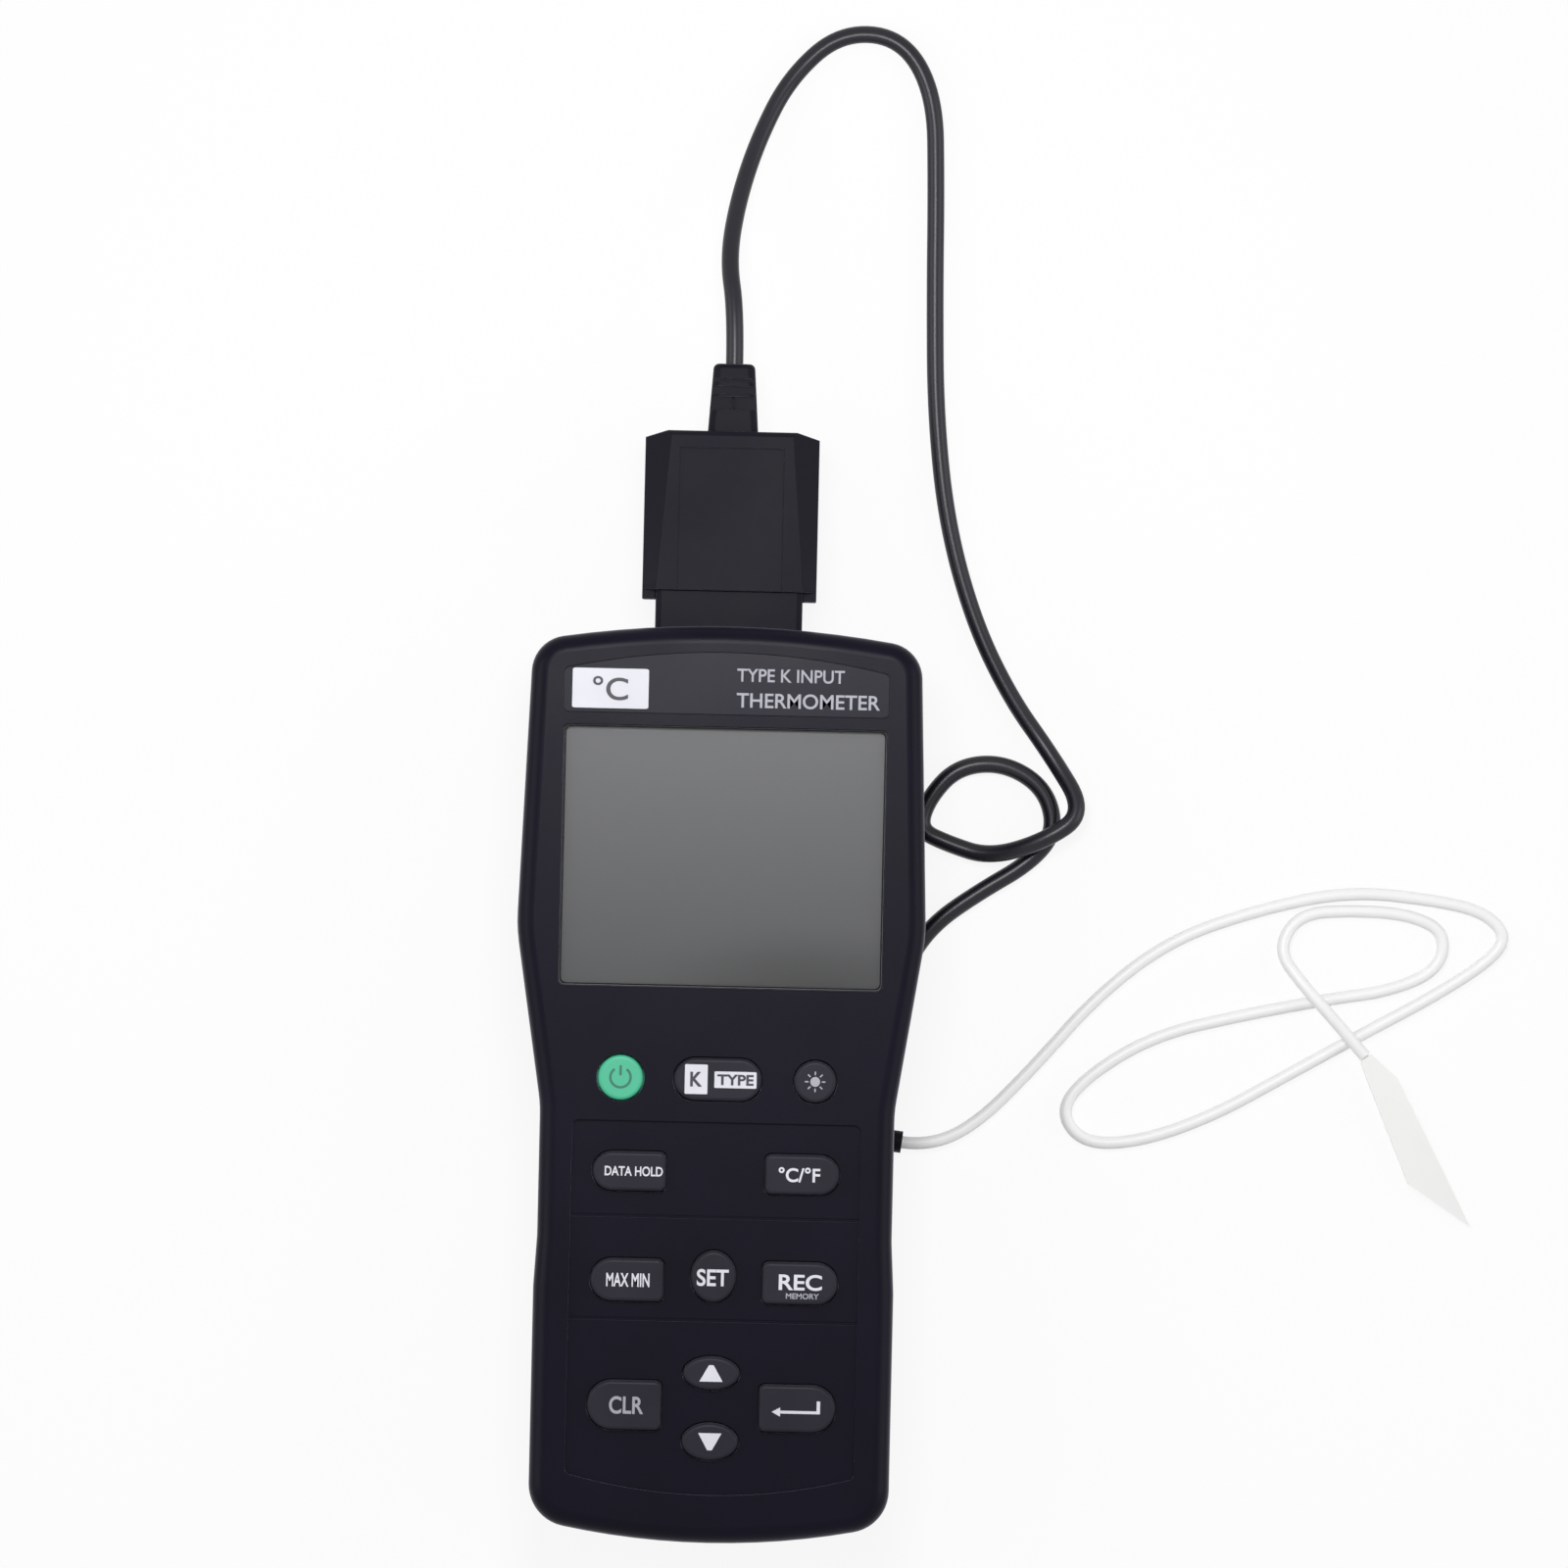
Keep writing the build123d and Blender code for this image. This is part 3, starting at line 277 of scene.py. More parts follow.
plug_plastic = moulded(
    "plug_plastic", (0.0035, 0.003, 0.008), roughness=0.5, grain=0.00035, relief=0.00001,
    shine=0.1, bloom=0.25,
)
relief_rubber = moulded(
    "relief_rubber", (0.0035, 0.003, 0.007), roughness=0.5, grain=0.0004, relief=0.00001,
    shine=0.1, bloom=0.25,
)
blade_alloy = rolled("blade_alloy", (0.62, 0.58, 0.5), roughness=0.3, streak=0.0003)
plug_edge = 0.00025
relief_edge = 0.00016
front_shell = softened("plug_front", "plug_front_shell", plug_edge, "probe", "plug", plug_plastic)
back_shell = softened("plug_back", "plug_back_shell", plug_edge, "probe", "plug", plug_plastic)
nose = softened("plug_nose", "plug_nose_body", plug_edge, "probe", "plug", plug_plastic)
relief = softened(
    "strain_relief", "strain_relief_boot", relief_edge, "probe", "cord_rubber", relief_rubber
)
dress(blade_alloy, "plug_blades")
dress(relief_rubber, "lead_sleeve")


# Black cord: soft vinyl, glossy from the die. It leaves the plug's strain relief, comes down to
# the table, loops once beside the meter and goes under its edge to the sleeve.
cord_diameter = 0.0031
black_route = (
    (0.0, 0.1273, 0.0175),
    (0.0, 0.1367, 0.0175),
    (-0.0016, 0.1463, 0.0138),
    (0.0, 0.1573, 0.008),
    (0.0034, 0.1685, 0.0032),
    (0.0086, 0.1793, 0.0016),
    (0.0174, 0.1876, 0.0016),
    (0.0284, 0.187, 0.0016),
    (0.0346, 0.177, 0.0016),
    (0.0352, 0.16, 0.0016),
    (0.0354, 0.141, 0.0016),
    (0.036, 0.12, 0.0016),
    (0.0384, 0.1005, 0.0016),
    (0.0436, 0.083, 0.0016),
    (0.0504, 0.0696, 0.0016),
    (0.058, 0.0594, 0.0016),
    (0.0644, 0.0492, 0.0058),
    (0.0568, 0.0439, 0.0062),
    (0.0474, 0.0409, 0.003),
    (0.0398, 0.0432, 0.0016),
    (0.0346, 0.0456, 0.0016),
    (0.0363, 0.0513, 0.0016),
    (0.0414, 0.057, 0.0016),
    (0.0496, 0.0579, 0.0016),
    (0.057, 0.0536, 0.0016),
    (0.0592, 0.046, 0.0016),
    (0.0548, 0.0402, 0.0016),
    (0.0456, 0.0346, 0.0016),
    (0.0376, 0.0288, 0.0016),
    (0.0328, 0.0216, 0.0016),
    (0.0304, 0.013, 0.0016),
    (0.0286, 0.0044, 0.0016),
    (0.0276, -0.0024, 0.0016),
    (0.0276, -0.0068, 0.0016),
    (0.0296, -0.0099, 0.002),
    (0.0329, -0.0103, 0.002),
)


def lay_cord(name, route, diameter, material):
    """Round cord whose smooth line is led by the points of its route"""
    curve = bpy.data.curves.new(name, "CURVE")
    curve.dimensions = "3D"
    spline = curve.splines.new("NURBS")
    spline.points.add(len(route) - 1)
    for point, place in zip(spline.points, route):
        point.co = (*place, 1)
    spline.order_u = 3
    spline.use_endpoint_u = True
    spline.resolution_u = 10
    curve.bevel_depth = diameter / 2
    curve.bevel_resolution = 5
    curve.use_fill_caps = True
    curve.materials.append(material)
    piece = bpy.data.objects.new(name, curve)
    collection.objects.link(piece)
    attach(piece, "probe")
    return piece


vinyl = moulded(
    "cord_vinyl", (0.012, 0.011, 0.017), roughness=0.32, grain=0.0006, relief=0.000008, shine=0.3
)
black_cord = lay_cord("black_cord_sheath", black_route, cord_diameter, vinyl)
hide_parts("black_cord")

# Pale lead and sensor: a thin wire in a smooth white sheath from the sleeve to the flat, leaf
# shaped ceramic tip. It lies in a wide loose figure and climbs over itself near the tip.
lead_diameter = 0.0022
pale_route = (
    (0.0329, -0.0103, 0.002),
    (0.0377, -0.01088, 0.002),
    (0.046, -0.007, 0.00115),
    (0.056, 0.0034, 0.00115),
    (0.0672, 0.0166, 0.00115),
    (0.08, 0.0268, 0.00115),
    (0.0955, 0.0326, 0.00115),
    (0.112, 0.0364, 0.00115),
    (0.128, 0.0349, 0.00115),
    (0.1362, 0.033, 0.00115),
    (0.1402, 0.0288, 0.00115),
    (0.1372, 0.0244, 0.00115),
    (0.127, 0.0176, 0.00115),
    (0.114, 0.0104, 0.00115),
    (0.1015, 0.0032, 0.00115),
    (0.088, -0.0046, 0.00115),
    (0.075, -0.0094, 0.00115),
    (0.0652, -0.0098, 0.00115),
    (0.061, -0.0042, 0.00115),
    (0.0654, 0.002, 0.00115),
    (0.0776, 0.0098, 0.00115),
    (0.094, 0.0139, 0.00115),
    (0.109, 0.017, 0.00115),
    (0.1194, 0.0186, 0.00115),
    (0.1282, 0.0226, 0.00115),
    (0.1292, 0.0294, 0.00115),
    (0.1226, 0.0324, 0.00115),
    (0.1124, 0.0329, 0.00115),
    (0.1028, 0.032, 0.00115),
    (0.0992, 0.0254, 0.0018),
    (0.104, 0.0192, 0.0042),
    (0.1098, 0.013, 0.0046),
    (0.1151, 0.007, 0.0036),
)

pale_sheath = moulded(
    "lead_sheath", (0.9, 0.9, 0.895), roughness=0.4, grain=0.0008, relief=0.000004, drift=0.01
)
pale_lead = lay_cord("pale_lead_sheath", pale_route, lead_diameter, pale_sheath)
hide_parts("pale_lead")
ceramic = moulded(
    "sensor_ceramic", (0.9, 0.9, 0.89), roughness=0.45, grain=0.0008, relief=0.00001, drift=0.015
)
tip_edge = 0.0002
tip = softened("sensor_tip", "sensor_tip_leaf", tip_edge, "probe", "pale_plastic", ceramic)

# Rear case: the boat-shaped back shell, moulded in dark navy plastic with a fine spark-eroded
# grain. The battery door closes its bay and is of the same plastic.
case_plastic = moulded(
    "case_plastic", (0.003, 0.0024, 0.0085), roughness=0.36, grain=0.0003, relief=0.000012,
    shine=0.095, bloom=0.2,
)
dress(case_plastic, "rear_case", "battery_door")

# Battery cells: three cells that lie head to tail in printed jackets, dark with a copper
# coloured band at the cap end, and bare steel at both ends.
jacket_end = 0.0007
cap_share = 2.5
band_share = 0.27
bare_steel = (0.6, 0.6, 0.6, 1)
copper_band = (0.55, 0.24, 0.1, 1)
dark_jacket = (0.012, 0.016, 0.03, 1)


def cell_jacket(name, cap_end, foot_end):
    """Finish of a cell: the jacket's two colours, and bare metal past its two ends"""
    material = bpy.data.materials.new(name)
    material.use_nodes = True
    tree = material.node_tree
    shader = tree.nodes["Principled BSDF"]
    place = tree.nodes.new("ShaderNodeTexCoord")
    split = tree.nodes.new("ShaderNodeSeparateXYZ")
    tree.links.new(place.outputs["Object"], split.inputs["Vector"])
    along = tree.nodes.new("ShaderNodeMapRange")
    along.inputs["From Min"].default_value = cap_end
    along.inputs["From Max"].default_value = foot_end
    tree.links.new(split.outputs["Y"], along.inputs["Value"])
    edge = jacket_end / abs(cap_end - foot_end)
    stops = (
        (0, bare_steel), (cap_share * edge, copper_band), (band_share, dark_jacket),
        (1 - edge, bare_steel),
    )
    tones = tree.nodes.new("ShaderNodeValToRGB")
    tones.color_ramp.interpolation = "CONSTANT"
    metals = tree.nodes.new("ShaderNodeValToRGB")
    metals.color_ramp.interpolation = "CONSTANT"
    for ramp, marks_metal in ((tones.color_ramp, False), (metals.color_ramp, True)):
        ramp.elements.remove(ramp.elements[1])
        for start, tone in stops:
            stop = ramp.elements[0] if start == 0 else ramp.elements.new(start)
            metal = float(tone == bare_steel)
            stop.color = (metal, metal, metal, 1) if marks_metal else tone
    tree.links.new(along.outputs["Result"], tones.inputs["Fac"])
    tree.links.new(along.outputs["Result"], metals.inputs["Fac"])
    tree.links.new(tones.outputs["Color"], shader.inputs["Base Color"])
    tree.links.new(metals.outputs["Color"], shader.inputs["Metallic"])
    scuffs = tree.nodes.new("ShaderNodeTexNoise")
    scuffs.inputs["Scale"].default_value = 400
    tree.links.new(place.outputs["Object"], scuffs.inputs["Vector"])
    glosses = tree.nodes.new("ShaderNodeMapRange")
    glosses.inputs["To Min"].default_value = 0.2
    glosses.inputs["To Max"].default_value = 0.36
    tree.links.new(scuffs.outputs["Fac"], glosses.inputs["Value"])
    tree.links.new(glosses.outputs["Result"], shader.inputs["Roughness"])
    return material


for number in (1, 2, 3):
    name = f"battery_cell_{number}"
    low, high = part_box(name)
    cap_end, foot_end = (low[1], high[1]) if number == 2 else (high[1], low[1])
    dress(cell_jacket(name + "_jacket", cap_end, foot_end), name)

# Contacts: springs and tabs of bright plated strip in the battery bay, and two bent strips in the
# input socket, which is a block of black nylon in the case's top end.
spring_strip = rolled("spring_strip", (0.66, 0.66, 0.63), roughness=0.28, streak=0.0003)
dress(spring_strip, "battery_contacts", "socket_contacts")
nylon = moulded("socket_nylon", (0.014, 0.014, 0.015), roughness=0.5, grain=0.0003, relief=0.00001)
dress(nylon, "input_socket")

# Screws: zinc-plated steel, with a rounded head, a cross recess and a coarse thread for plastic.
# Four hold the case from behind, two the battery door and four the board.
zinc = rolled("zinc_steel", (0.55, 0.55, 0.57), roughness=0.35, streak=0.0004)
thread_depth = 0.0003
screw_sides = 32
head_crown = (0.6, 0)
head_shoulder = (0.88, 0.22)
head_rim = (1, 0.5)
thread_crest = 0.6
point_length = 1.5
cross_reach = 0.62
cross_width = 0.2
cross_depth = 0.62
cross_taper = 0.6
punch_start = 0.2
screw_shading_break = radians(35)


def cross_screws(node, name, places, head_radius, head_height, radius, pitch, body):
    """Group of like screws that point up, with their heads at the node's lowest level"""
    low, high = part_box(node)[0][2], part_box(node)[1][2]
    neck = low + head_height
    turned = bmesh.new()
    line = [(0, low)]
    for out, up in (head_crown, head_shoulder, head_rim):
        line.append((out * head_radius, low + up * head_height))
    line += [(head_radius, neck), (radius - thread_depth, neck)]
    ridges = int((high - neck - point_length * radius) / pitch)
    for ridge in range(ridges):
        line.append((radius, neck + (ridge + thread_crest) * pitch))
        line.append((radius - thread_depth, neck + (ridge + 1) * pitch))
    line.append((0, high))
    points = [turned.verts.new((out, 0, up)) for out, up in line]
    for start, end in zip(points, points[1:]):
        turned.edges.new((start, end))
    bmesh.ops.spin(
        turned,
        geom=turned.verts[:] + turned.edges[:],
        cent=(0, 0, 0),
        axis=(0, 0, 1),
        angle=2 * pi,
        steps=screw_sides,
        use_merge=True,
    )
    bmesh.ops.remove_doubles(turned, verts=turned.verts, dist=weld)
    bmesh.ops.recalc_face_normals(turned, faces=turned.faces)
    screw = bpy.data.objects.new("turned_screw", bpy.data.meshes.new("turned_screw"))
    turned.to_mesh(screw.data)
    turned.free()
    collection.objects.link(screw)

    long, short = cross_reach * head_radius, cross_width * head_radius
    cross = (
        (long, -short), (long, short), (short, short), (short, long), (-short, long),
        (-short, short), (-long, short), (-long, -short), (-short, -short), (-short, -long),
        (short, -long), (short, -short),
    )
    punch = bmesh.new()
    start = low - punch_start * head_height
    punch.faces.new([punch.verts.new((x, y, start)) for x, y in cross])
    deep = bmesh.ops.extrude_face_region(punch, geom=punch.faces[:])["geom"]
    deep = [item for item in deep if isinstance(item, bmesh.types.BMVert)]
    bmesh.ops.translate(punch, verts=deep, vec=(0, 0, (punch_start + cross_depth) * head_height))
    bmesh.ops.scale(punch, verts=deep, vec=(cross_taper, cross_taper, 1))
    bmesh.ops.recalc_face_normals(punch, faces=punch.faces)
    tool = bpy.data.objects.new("cross_punch", bpy.data.meshes.new("cross_punch"))
    punch.to_mesh(tool.data)
    punch.free()
    collection.objects.link(tool)
    recess = screw.modifiers.new("recess", "BOOLEAN")
    recess.operation = "DIFFERENCE"
    recess.solver = "EXACT"
    recess.object = tool
    graph = bpy.context.evaluated_depsgraph_get()
    cut = bpy.data.meshes.new_from_object(screw.evaluated_get(graph))
    bpy.data.objects.remove(screw)
    bpy.data.objects.remove(tool)

    group = bmesh.new()
    for x, y in places:
        before = len(group.verts)
        group.from_mesh(cut)
        group.verts.ensure_lookup_table()
        bmesh.ops.translate(group, verts=group.verts[before:], vec=(x, y, 0))
    piece = finished(group, name, body, "steel", zinc, node)
    for face in piece.data.polygons:
        face.use_smooth = True
    piece.data.set_sharp_from_angle(angle=screw_shading_break)


case_screw_places = ((-0.0195, 0.0682), (0.0195, 0.0682), (-0.013, -0.071), (0.013, -0.071))
door_screw_places = ((0, -0.0703), (0, -0.0097))
board_screw_places = ((-0.025, 0.0106), (0.025, 0.0106), (-0.025, -0.0615), (0.025, -0.0615))
cross_screws(
    "case_screws", "case_screw_set", case_screw_places,
    head_radius=0.0025, head_height=0.002, radius=0.0013, pitch=0.001, body="meter",
)
cross_screws(
    "door_screws", "door_screw_pair", door_screw_places,
    head_radius=0.0024, head_height=0.0013, radius=0.0012, pitch=0.0008, body="door",
)
cross_screws(
    "board_screws", "board_screw_set", board_screw_places,
    head_radius=0.002, head_height=0.0013, radius=0.0009, pitch=0.0008, body="meter",
)


# Circuit board: glass cloth under a green solder mask, through which the copper tracks show as
# paler lines. It carries the main chip and the buzzer, both moulded in dark plastic.
tracks_per_metre = 180
track_width = 0.06
track_relief = 0.00003
second_mask = 1.15


def tracked_mask(name, mask, track):
    """Green mask with paler tracks that run along and across it"""
    material = bpy.data.materials.new(name)
    material.use_nodes = True
    tree = material.node_tree
    shader = tree.nodes["Principled BSDF"]
    shader.inputs["Roughness"].default_value = 0.3
    place = tree.nodes.new("ShaderNodeTexCoord")
    cells = tree.nodes.new("ShaderNodeTexBrick")
    cells.offset = 0.37
    cells.inputs["Scale"].default_value = tracks_per_metre
    cells.inputs["Mortar Size"].default_value = track_width
    cells.inputs["Brick Width"].default_value = 1.7
    cells.inputs["Row Height"].default_value = 0.5
    cells.inputs["Color1"].default_value = (*mask, 1)
    cells.inputs["Color2"].default_value = (*[part * second_mask for part in mask], 1)
    cells.inputs["Mortar"].default_value = (*track, 1)
    tree.links.new(place.outputs["Object"], cells.inputs["Vector"])
    tree.links.new(cells.outputs["Color"], shader.inputs["Base Color"])
    bump = tree.nodes.new("ShaderNodeBump")
    bump.inputs["Distance"].default_value = track_relief
    tree.links.new(cells.outputs["Fac"], bump.inputs["Height"])
    tree.links.new(bump.outputs["Normal"], shader.inputs["Normal"])
    return material


solder_mask = tracked_mask("solder_mask", mask=(0.008, 0.075, 0.026), track=(0.02, 0.15, 0.05))
dress(solder_mask, "circuit_board")
dress(nylon, "main_chip", "buzzer")

# Display: a liquid crystal cell in a dark frame, joined to the board by two rubber strips. No
# segment is on, so it shows the grey of its reflector, with painted light that makes it lighter
# towards its upper edge and a painted shade, standing for a reflection, towards its lower right.
# Painted light and shade on the display: the span over which its grey lightens, and the place, size and
# strength of a painted shade spot that stands for a reflection.
display_low = 0.0165
display_high = 0.0635
painted_shade_spot = (0.016, 0.0165, 0)
painted_shade_radius = 0.034
painted_shade_flatness = 0.4
painted_shade_share = 0.85


def grey_with_painted_light(name, painted_shade_low_tone, painted_light_high_tone, painted_shade_tone):
    """Grey of an idle liquid crystal cell, with painted light that makes it lighter towards its upper
    edge and a painted shade at its lower right
    """
    material = bpy.data.materials.new(name)
    material.use_nodes = True
    tree = material.node_tree
    shader = tree.nodes["Principled BSDF"]
    shader.inputs["Specular IOR Level"].default_value = 0.2
    place = tree.nodes.new("ShaderNodeTexCoord")
    split = tree.nodes.new("ShaderNodeSeparateXYZ")
    tree.links.new(place.outputs["Object"], split.inputs["Vector"])
    # Painted light: the grey runs from a darker tone at the bottom to a lighter one at the top, standing
    # for the lamp's falloff over the head.
    painted_light_rise = tree.nodes.new("ShaderNodeMapRange")
    painted_light_rise.inputs["From Min"].default_value = display_low
    painted_light_rise.inputs["From Max"].default_value = display_high
    tree.links.new(split.outputs["Y"], painted_light_rise.inputs["Value"])
    tones = tree.nodes.new("ShaderNodeValToRGB")
    tones.color_ramp.elements[0].color = (*painted_shade_low_tone, 1)
    tones.color_ramp.elements[1].color = (*painted_light_high_tone, 1)
    tree.links.new(painted_light_rise.outputs["Result"], tones.inputs["Fac"])
    # Painted shade: a soft darker spot at the lower right, standing for a reflection.
    centre = tree.nodes.new("ShaderNodeMapping")
    centre.vector_type = "TEXTURE"
    centre.inputs["Location"].default_value = painted_shade_spot
    painted_shade_reach = (painted_shade_radius, painted_shade_radius * painted_shade_flatness, 1)
    centre.inputs["Scale"].default_value = painted_shade_reach
    tree.links.new(place.outputs["Object"], centre.inputs["Vector"])
    spot = tree.nodes.new("ShaderNodeTexGradient")
    spot.gradient_type = "SPHERICAL"
    tree.links.new(centre.outputs["Vector"], spot.inputs["Vector"])
    shade = tree.nodes.new("ShaderNodeMapRange")
    shade.interpolation_type = "SMOOTHSTEP"
    shade.inputs["To Min"].default_value = 0.0
    shade.inputs["To Max"].default_value = painted_shade_share
    tree.links.new(spot.outputs["Fac"], shade.inputs["Value"])
    blend = tree.nodes.new("ShaderNodeMix")
    blend.data_type = "RGBA"
    blend.inputs["B"].default_value = (*painted_shade_tone, 1)
    tree.links.new(shade.outputs["Result"], blend.inputs["Factor"])
    tree.links.new(tones.outputs["Color"], blend.inputs["A"])
    tree.links.new(blend.outputs["Result"], shader.inputs["Base Color"])
    fine = tree.nodes.new("ShaderNodeTexNoise")
    fine.inputs["Scale"].default_value = 4000
    tree.links.new(place.outputs["Object"], fine.inputs["Vector"])
    glosses = tree.nodes.new("ShaderNodeMapRange")
    glosses.inputs["To Min"].default_value = 0.4
    glosses.inputs["To Max"].default_value = 0.55
    tree.links.new(fine.outputs["Fac"], glosses.inputs["Value"])
    tree.links.new(glosses.outputs["Result"], shader.inputs["Roughness"])
    return material


# The display's grey carries painted light: a darker low tone, a lighter high tone and the tone of its
# painted shade spot.
painted_light_grey = grey_with_painted_light(
    "display_painted_light_grey",
    painted_shade_low_tone=(0.088, 0.089, 0.092),
    painted_light_high_tone=(0.168, 0.17, 0.175),
    painted_shade_tone=(0.045, 0.045, 0.047),
)
dress(painted_light_grey, "display_glass")
frame_plastic = moulded(
    "frame_plastic", (0.02, 0.02, 0.022), roughness=0.5, grain=0.0004, relief=0.00001
)
strip_rubber = moulded(
    "strip_rubber", (0.16, 0.15, 0.14), roughness=0.6, grain=0.0002, relief=0.00001
)
dress(frame_plastic, "display_frame")
dress(strip_rubber, "contact_strips")

# Key mat: one sheet of grey silicone rubber on the board, with a dome under each key that gives
# way under the finger and brings the key back.
mat_silicone = moulded("mat_silicone", (0.12, 0.12, 0.13), roughness=0.6, grain=0.0006, relief=0.00001)
dress(mat_silicone, "key_mat")

# Front case: the front shell, with the sunk key panel and the seats of the label and the window,
# in the rear case's plastic. The case screws hold it from behind.
dress(case_plastic, "front_case")


# Label plate: a thin satin overlay, glued into its recess in the head. It bears only plain words
# and a pale field, printed as thin skins of ink.
def fitted(form, width, height, middle, top, skin):
    """Bring a printed form to its size and place, as a thin skin of ink on a surface"""
    low, high = (
        Vector([pick(point.co[axis] for point in form.verts) for axis in range(3)])
        for pick in (min, max)
    )
    bmesh.ops.translate(form, verts=form.verts, vec=-(low + high) / 2)
    span = high - low
    bmesh.ops.scale(form, verts=form.verts, vec=(width / span.x, height / span.y, skin / span.z))
    bmesh.ops.translate(form, verts=form.verts, vec=(*middle, top))
    bmesh.ops.recalc_face_normals(form, faces=form.faces)
    return form


letter_thickness = 0.1
letter_weld = 0.0001


def lettered(words, weight):
    """Form of a line of plain words, whose strokes are thicker by the weight"""
    line = bpy.data.curves.new("line_of_words", "FONT")
    line.body = words
    line.extrude = letter_thickness
    line.offset = weight
    writer = bpy.data.objects.new("line_of_words", line)
    collection.objects.link(writer)
    bpy.context.view_layer.update()
    mesh = bpy.data.meshes.new_from_object(writer)
    bpy.data.objects.remove(writer)
    form = bmesh.new()
    form.from_mesh(mesh)
    bmesh.ops.remove_doubles(form, verts=form.verts, dist=letter_weld)
    return form


field_corner = 0.04


def field():
    """Form of a plain field of ink with slightly rounded corners"""
    form = bmesh.new()
    bmesh.ops.create_cube(form, size=1)
    upright = [edge for edge in form.edges if edge.verts[0].co.z != edge.verts[1].co.z]
    bmesh.ops.bevel(
        form,
        geom=upright,
        offset=field_corner,
        segments=3,
        profile=0.5,
        affect="EDGES",
        material=-1,
    )
    return form


overlay = moulded(
    "label_overlay", (0.006, 0.0055, 0.0135), roughness=0.34, grain=0.0005, relief=0.000004,
    shine=0.12,
)
dress(overlay, "label_plate")
white_ink = moulded(
    "white_ink", (0.68, 0.68, 0.74), roughness=0.5, grain=0.0003, relief=0.000004, drift=0.06
)
grey_ink = moulded(
    "grey_ink", (0.35, 0.35, 0.4), roughness=0.5, grain=0.0003, relief=0.000004, drift=0.1
)
dark_ink = moulded("dark_ink", (0.02, 0.02, 0.03), roughness=0.5, grain=0.0003, relief=0.000004)
ink_skin = 0.00006
unit_weight = 0.01
label_weight = 0.012
label_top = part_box("label_plate")[1][2]
unit_place = (-0.0204, 0.0693)
upper_place = (0.01125, 0.0721)
lower_place = (0.0144, 0.0677)
unit = lettered("\u00b0C", unit_weight)
upper_line = lettered("TYPE K INPUT", label_weight)
lower_line = lettered("THERMOMETER", label_weight)
label_prints = (
    ("label_field", field(), (0.0134, 0.0070), unit_place, 0, "pale_plastic", white_ink),
    ("label_unit", unit, (0.0062, 0.0042), unit_place, 1, "dark_plastic", dark_ink),
    ("label_upper_line", upper_line, (0.0189, 0.0023), upper_place, 0, "pale_plastic", grey_ink),
    ("label_lower_line", lower_line, (0.0252, 0.0026), lower_place, 0, "pale_plastic", grey_ink),
)
for name, form, (width, height), place, layer, slot, ink in label_prints:
    fitted(form, width, height, place, label_top + layer * ink_skin, ink_skin)
    finished(form, name, "meter", slot, ink)


# Display window: a clear acrylic pane with a fine round on its edges, glued into its seat in the
# front case over the display.
def clear_pane(name, tint):
    """Clear sheet that lets light through and only mirrors a little"""
    material = bpy.data.materials.new(name)
    material.use_nodes = True
    tree = material.node_tree
    shader = tree.nodes["Principled BSDF"]
    shader.inputs["Base Color"].default_value = (*tint, 1)
    place = tree.nodes.new("ShaderNodeTexCoord")
    haze = tree.nodes.new("ShaderNodeTexNoise")
    haze.inputs["Scale"].default_value = 300
    tree.links.new(place.outputs["Object"], haze.inputs["Vector"])
    glosses = tree.nodes.new("ShaderNodeMapRange")
    glosses.inputs["To Min"].default_value = 0.1
    glosses.inputs["To Max"].default_value = 0.16
    tree.links.new(haze.outputs["Fac"], glosses.inputs["Value"])
    tree.links.new(glosses.outputs["Result"], shader.inputs["Roughness"])
    through = tree.nodes.new("ShaderNodeBsdfTransparent")
    edge = tree.nodes.new("ShaderNodeFresnel")
    edge.inputs["IOR"].default_value = 1.3
    mix = tree.nodes.new("ShaderNodeMixShader")
    tree.links.new(edge.outputs["Fac"], mix.inputs["Fac"])
    tree.links.new(through.outputs["BSDF"], mix.inputs[1])
    tree.links.new(shader.outputs["BSDF"], mix.inputs[2])
    tree.links.new(mix.outputs["Shader"], tree.nodes["Material Output"].inputs["Surface"])
    return material


pane_edge = 0.0003
acrylic = clear_pane("acrylic_pane", tint=(0.6, 0.62, 0.6))
softened("display_window", "display_pane", pane_edge, "meter", "window", acrylic)


# Keys: caps of dark grey silicone rubber, the power key in green, each in its hole in the front
# case and on its dome of the mat. Their marks are printed on them.
def filled(outline):
    """Form of a plain figure with the given outline"""
    form = bmesh.new()
    form.faces.new([form.verts.new((x, y, 0)) for x, y in outline])
    raised = bmesh.ops.extrude_face_region(form, geom=form.faces[:])["geom"]
    raised = [item for item in raised if isinstance(item, bmesh.types.BMVert)]
    bmesh.ops.translate(form, verts=raised, vec=(0, 0, 1))
    return form


ring_radius = 2
ring_stroke = 0.5
ring_start = 2.2
ring_sweep = 5.02
ring_steps = 30
bar_length = 2.0
bar_middle = 1.4


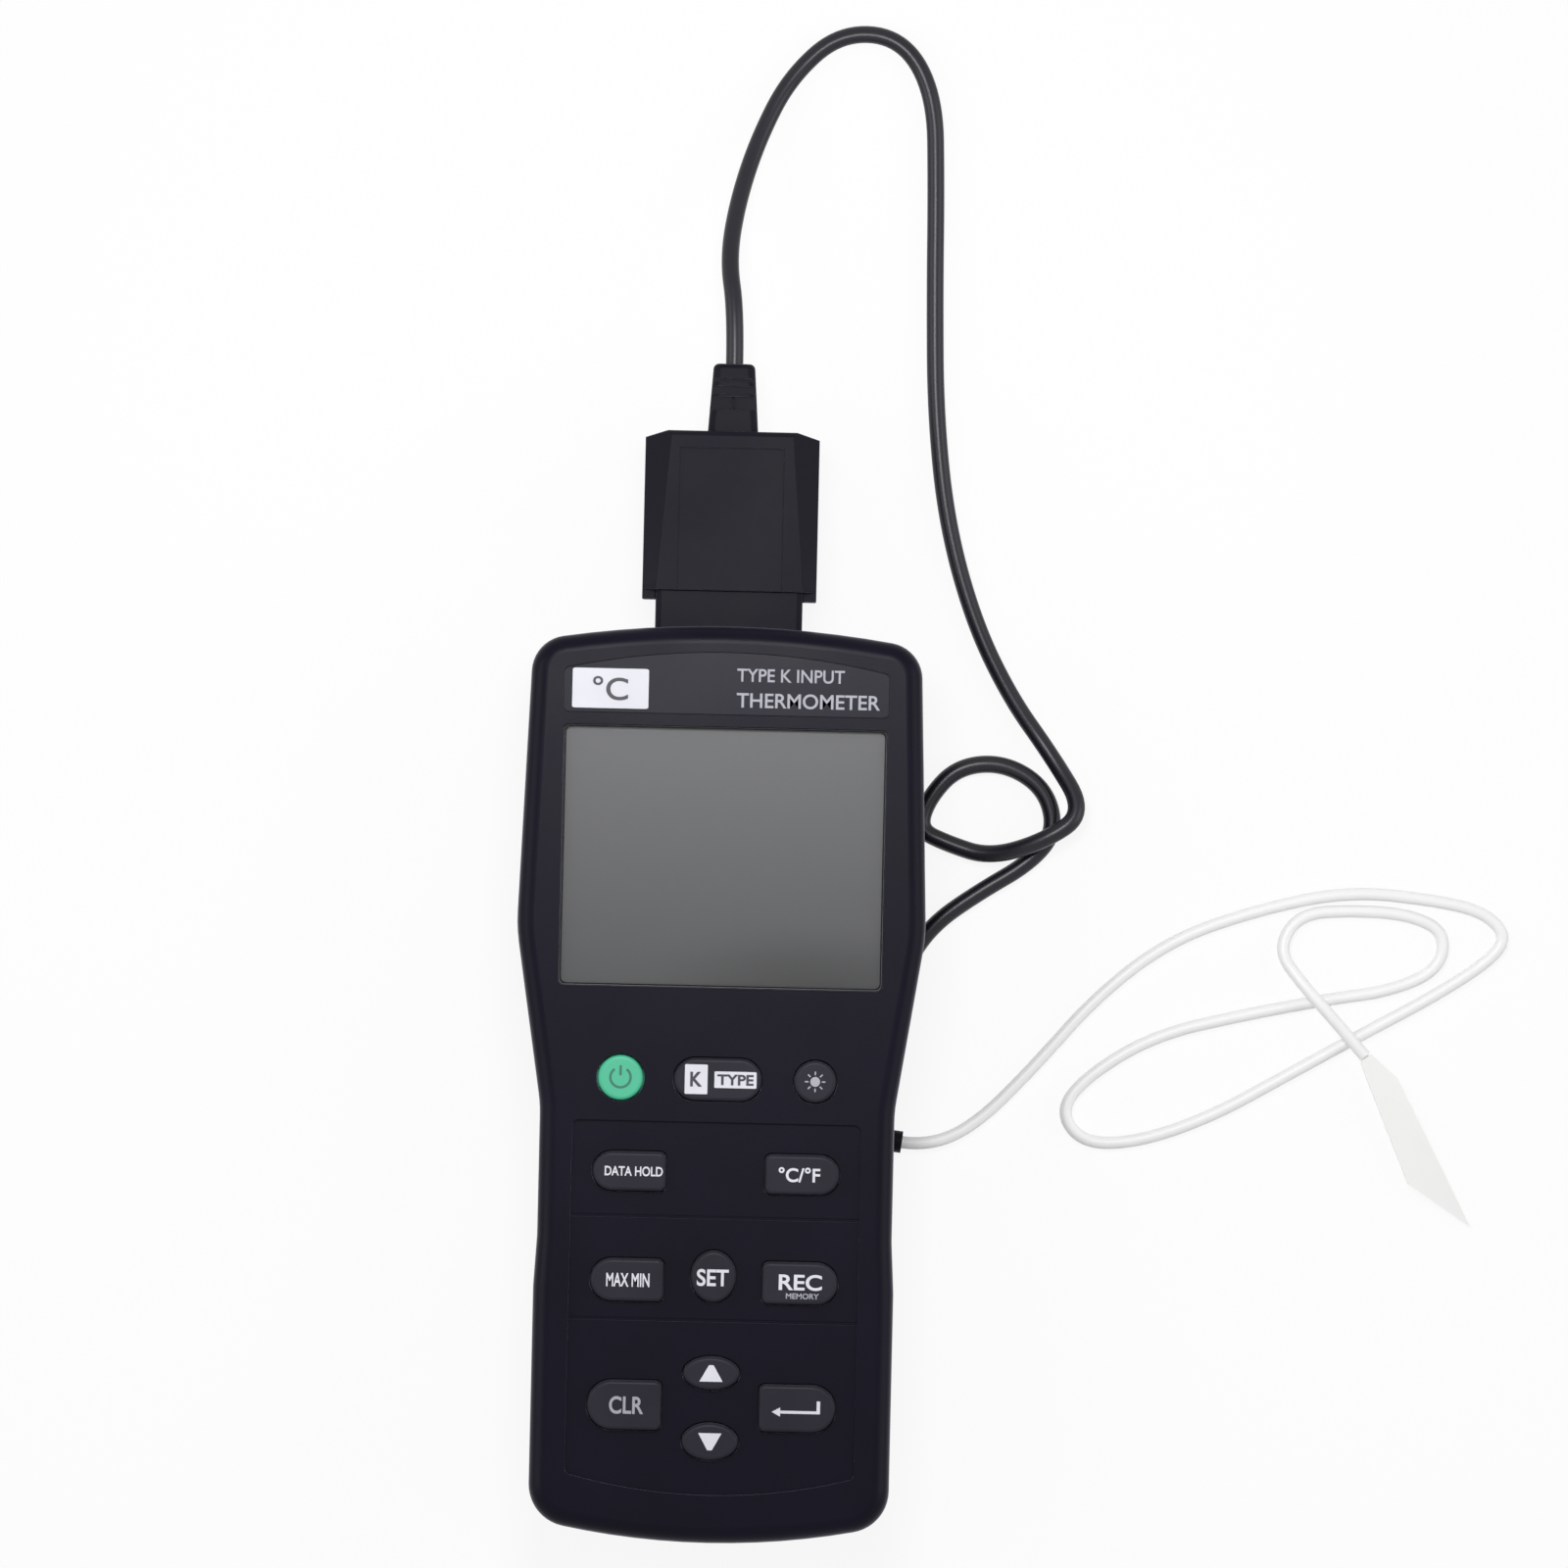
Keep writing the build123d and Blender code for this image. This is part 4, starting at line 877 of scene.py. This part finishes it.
def power_figure():
    """Form of an open ring with a bar in its gap"""
    form = bmesh.new()
    bmesh.ops.create_grid(form, x_segments=1, y_segments=1, size=0.5)
    upright = Matrix.Rotation(pi / 2, 3, "X")
    bmesh.ops.rotate(form, verts=form.verts, cent=(0, 0, 0), matrix=upright)
    bmesh.ops.scale(form, verts=form.verts, vec=(ring_stroke, 1, 1))
    bmesh.ops.translate(form, verts=form.verts, vec=(ring_radius, 0, 0))
    started = Matrix.Rotation(ring_start, 3, "Z")
    bmesh.ops.rotate(form, verts=form.verts, cent=(0, 0, 0), matrix=started)
    bmesh.ops.spin(
        form,
        geom=form.faces[:],
        cent=(0, 0, 0),
        axis=(0, 0, 1),
        angle=ring_sweep,
        steps=ring_steps,
    )
    bar = bmesh.ops.create_cube(form, size=1)["verts"]
    bmesh.ops.scale(form, verts=bar, vec=(ring_stroke, bar_length, 1))
    bmesh.ops.translate(form, verts=bar, vec=(0, bar_middle, 0))
    return form


disc_radius = 1.1
ray_count = 8
ray_size = (0.8, 0.3, 1)
ray_middle = 1.9


def lamp_figure():
    """Form of a small sun: a disc with eight rays round it"""
    form = bmesh.new()
    bmesh.ops.create_cone(
        form, cap_ends=True, segments=24, radius1=disc_radius, radius2=disc_radius, depth=1
    )
    for turn in range(ray_count):
        ray = bmesh.ops.create_cube(form, size=1)["verts"]
        bmesh.ops.scale(form, verts=ray, vec=ray_size)
        bmesh.ops.translate(form, verts=ray, vec=(ray_middle, 0, 0))
        turned = Matrix.Rotation(turn * 2 * pi / ray_count, 3, "Z")
        bmesh.ops.rotate(form, verts=ray, cent=(0, 0, 0), matrix=turned)
    return form


key_grey = moulded(
    "key_silicone", (0.02, 0.019, 0.028), roughness=0.4, grain=0.0004, relief=0.000008,
    shine=0.12, bloom=0.1,
)
power_green = moulded(
    "power_silicone", (0.05, 0.45, 0.26), roughness=0.45, grain=0.0004, relief=0.000008, drift=0.06
)
power_ink = moulded("power_ink", (0.015, 0.16, 0.10), roughness=0.5, grain=0.0003, relief=0.000004)
dress(key_grey, *[name for name in nodes if name.endswith("_key") and name != "power_key"])
dress(power_green, "power_key")
return_arrow = (
    (0, 0.8), (1.5, 0), (1.5, 0.55), (8.5, 0.55), (8.5, 2.8), (7.9, 2.8), (7.9, 1.05),
    (1.5, 1.05), (1.5, 1.6),
)
up_arrow = ((-1, 0), (1, 0), (0.2, 1.3), (-0.2, 1.3))
down_arrow = ((-0.2, 0), (0.2, 0), (1, 1.3), (-1, 1.3))
key_weight = 0.02
field_weight = 0.03
both_units = "\u00b0C/\u00b0F"
ink_slots = {"power_ink": "power_rubber", "dark_ink": "dark_plastic"}
marks = (
    ("power", "ring", power_figure(), (0.0040, 0.0041), (0, 0.0001), 0, power_ink),
    ("mode", "field", field(), (0.0040, 0.0052), (-0.0038, 0), 0, white_ink),
    ("mode", "letter", lettered("K", field_weight), (0.0021, 0.0026), (-0.0038, 0), 1, dark_ink),
    ("mode", "word_field", field(), (0.0074, 0.0029), (0.0031, 0), 0, white_ink),
    ("mode", "word", lettered("TYPE", field_weight), (0.0064, 0.0019), (0.0031, 0), 1, dark_ink),
    ("light", "sun", lamp_figure(), (0.0036, 0.0036), (0, 0), 0, grey_ink),
    ("hold", "words", lettered("DATA HOLD", key_weight), (0.0102, 0.0017), (0.0008, 0), 0, white_ink),
    ("unit", "words", lettered(both_units, key_weight), (0.0073, 0.0026), (-0.0005, 0), 0, white_ink),
    ("max_min", "words", lettered("MAX MIN", key_weight), (0.0076, 0.0024), (0.0002, 0), 0, white_ink),
    ("set", "words", lettered("SET", key_weight), (0.0056, 0.0030), (-0.0001, -0.0002), 0, white_ink),
    ("record", "words", lettered("REC", key_weight), (0.0076, 0.0028), (0.0001, 0.0002), 0, white_ink),
    ("record", "line", lettered("MEMORY", key_weight), (0.0058, 0.0010), (0.0005, -0.0022), 0, grey_ink),
    ("clear", "words", lettered("CLR", key_weight), (0.0060, 0.0031), (0.0004, 0), 0, grey_ink),
    ("up", "arrow", filled(up_arrow), (0.0041, 0.0029), (0, 0), 0, white_ink),
    ("down", "arrow", filled(down_arrow), (0.0041, 0.0030), (0, 0), 0, white_ink),
    ("enter", "arrow", filled(return_arrow), (0.0085, 0.0028), (-0.0002, 0), 0, white_ink),
)
for key, mark, form, (width, height), (aside, above), layer, ink in marks:
    low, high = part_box(key + "_key")
    place = ((low[0] + high[0]) / 2 + aside, (low[1] + high[1]) / 2 + above)
    fitted(form, width, height, place, high[2] + layer * ink_skin, ink_skin)
    finished(form, f"{key}_{mark}", key + "_button", ink_slots.get(ink.name, "pale_plastic"), ink)
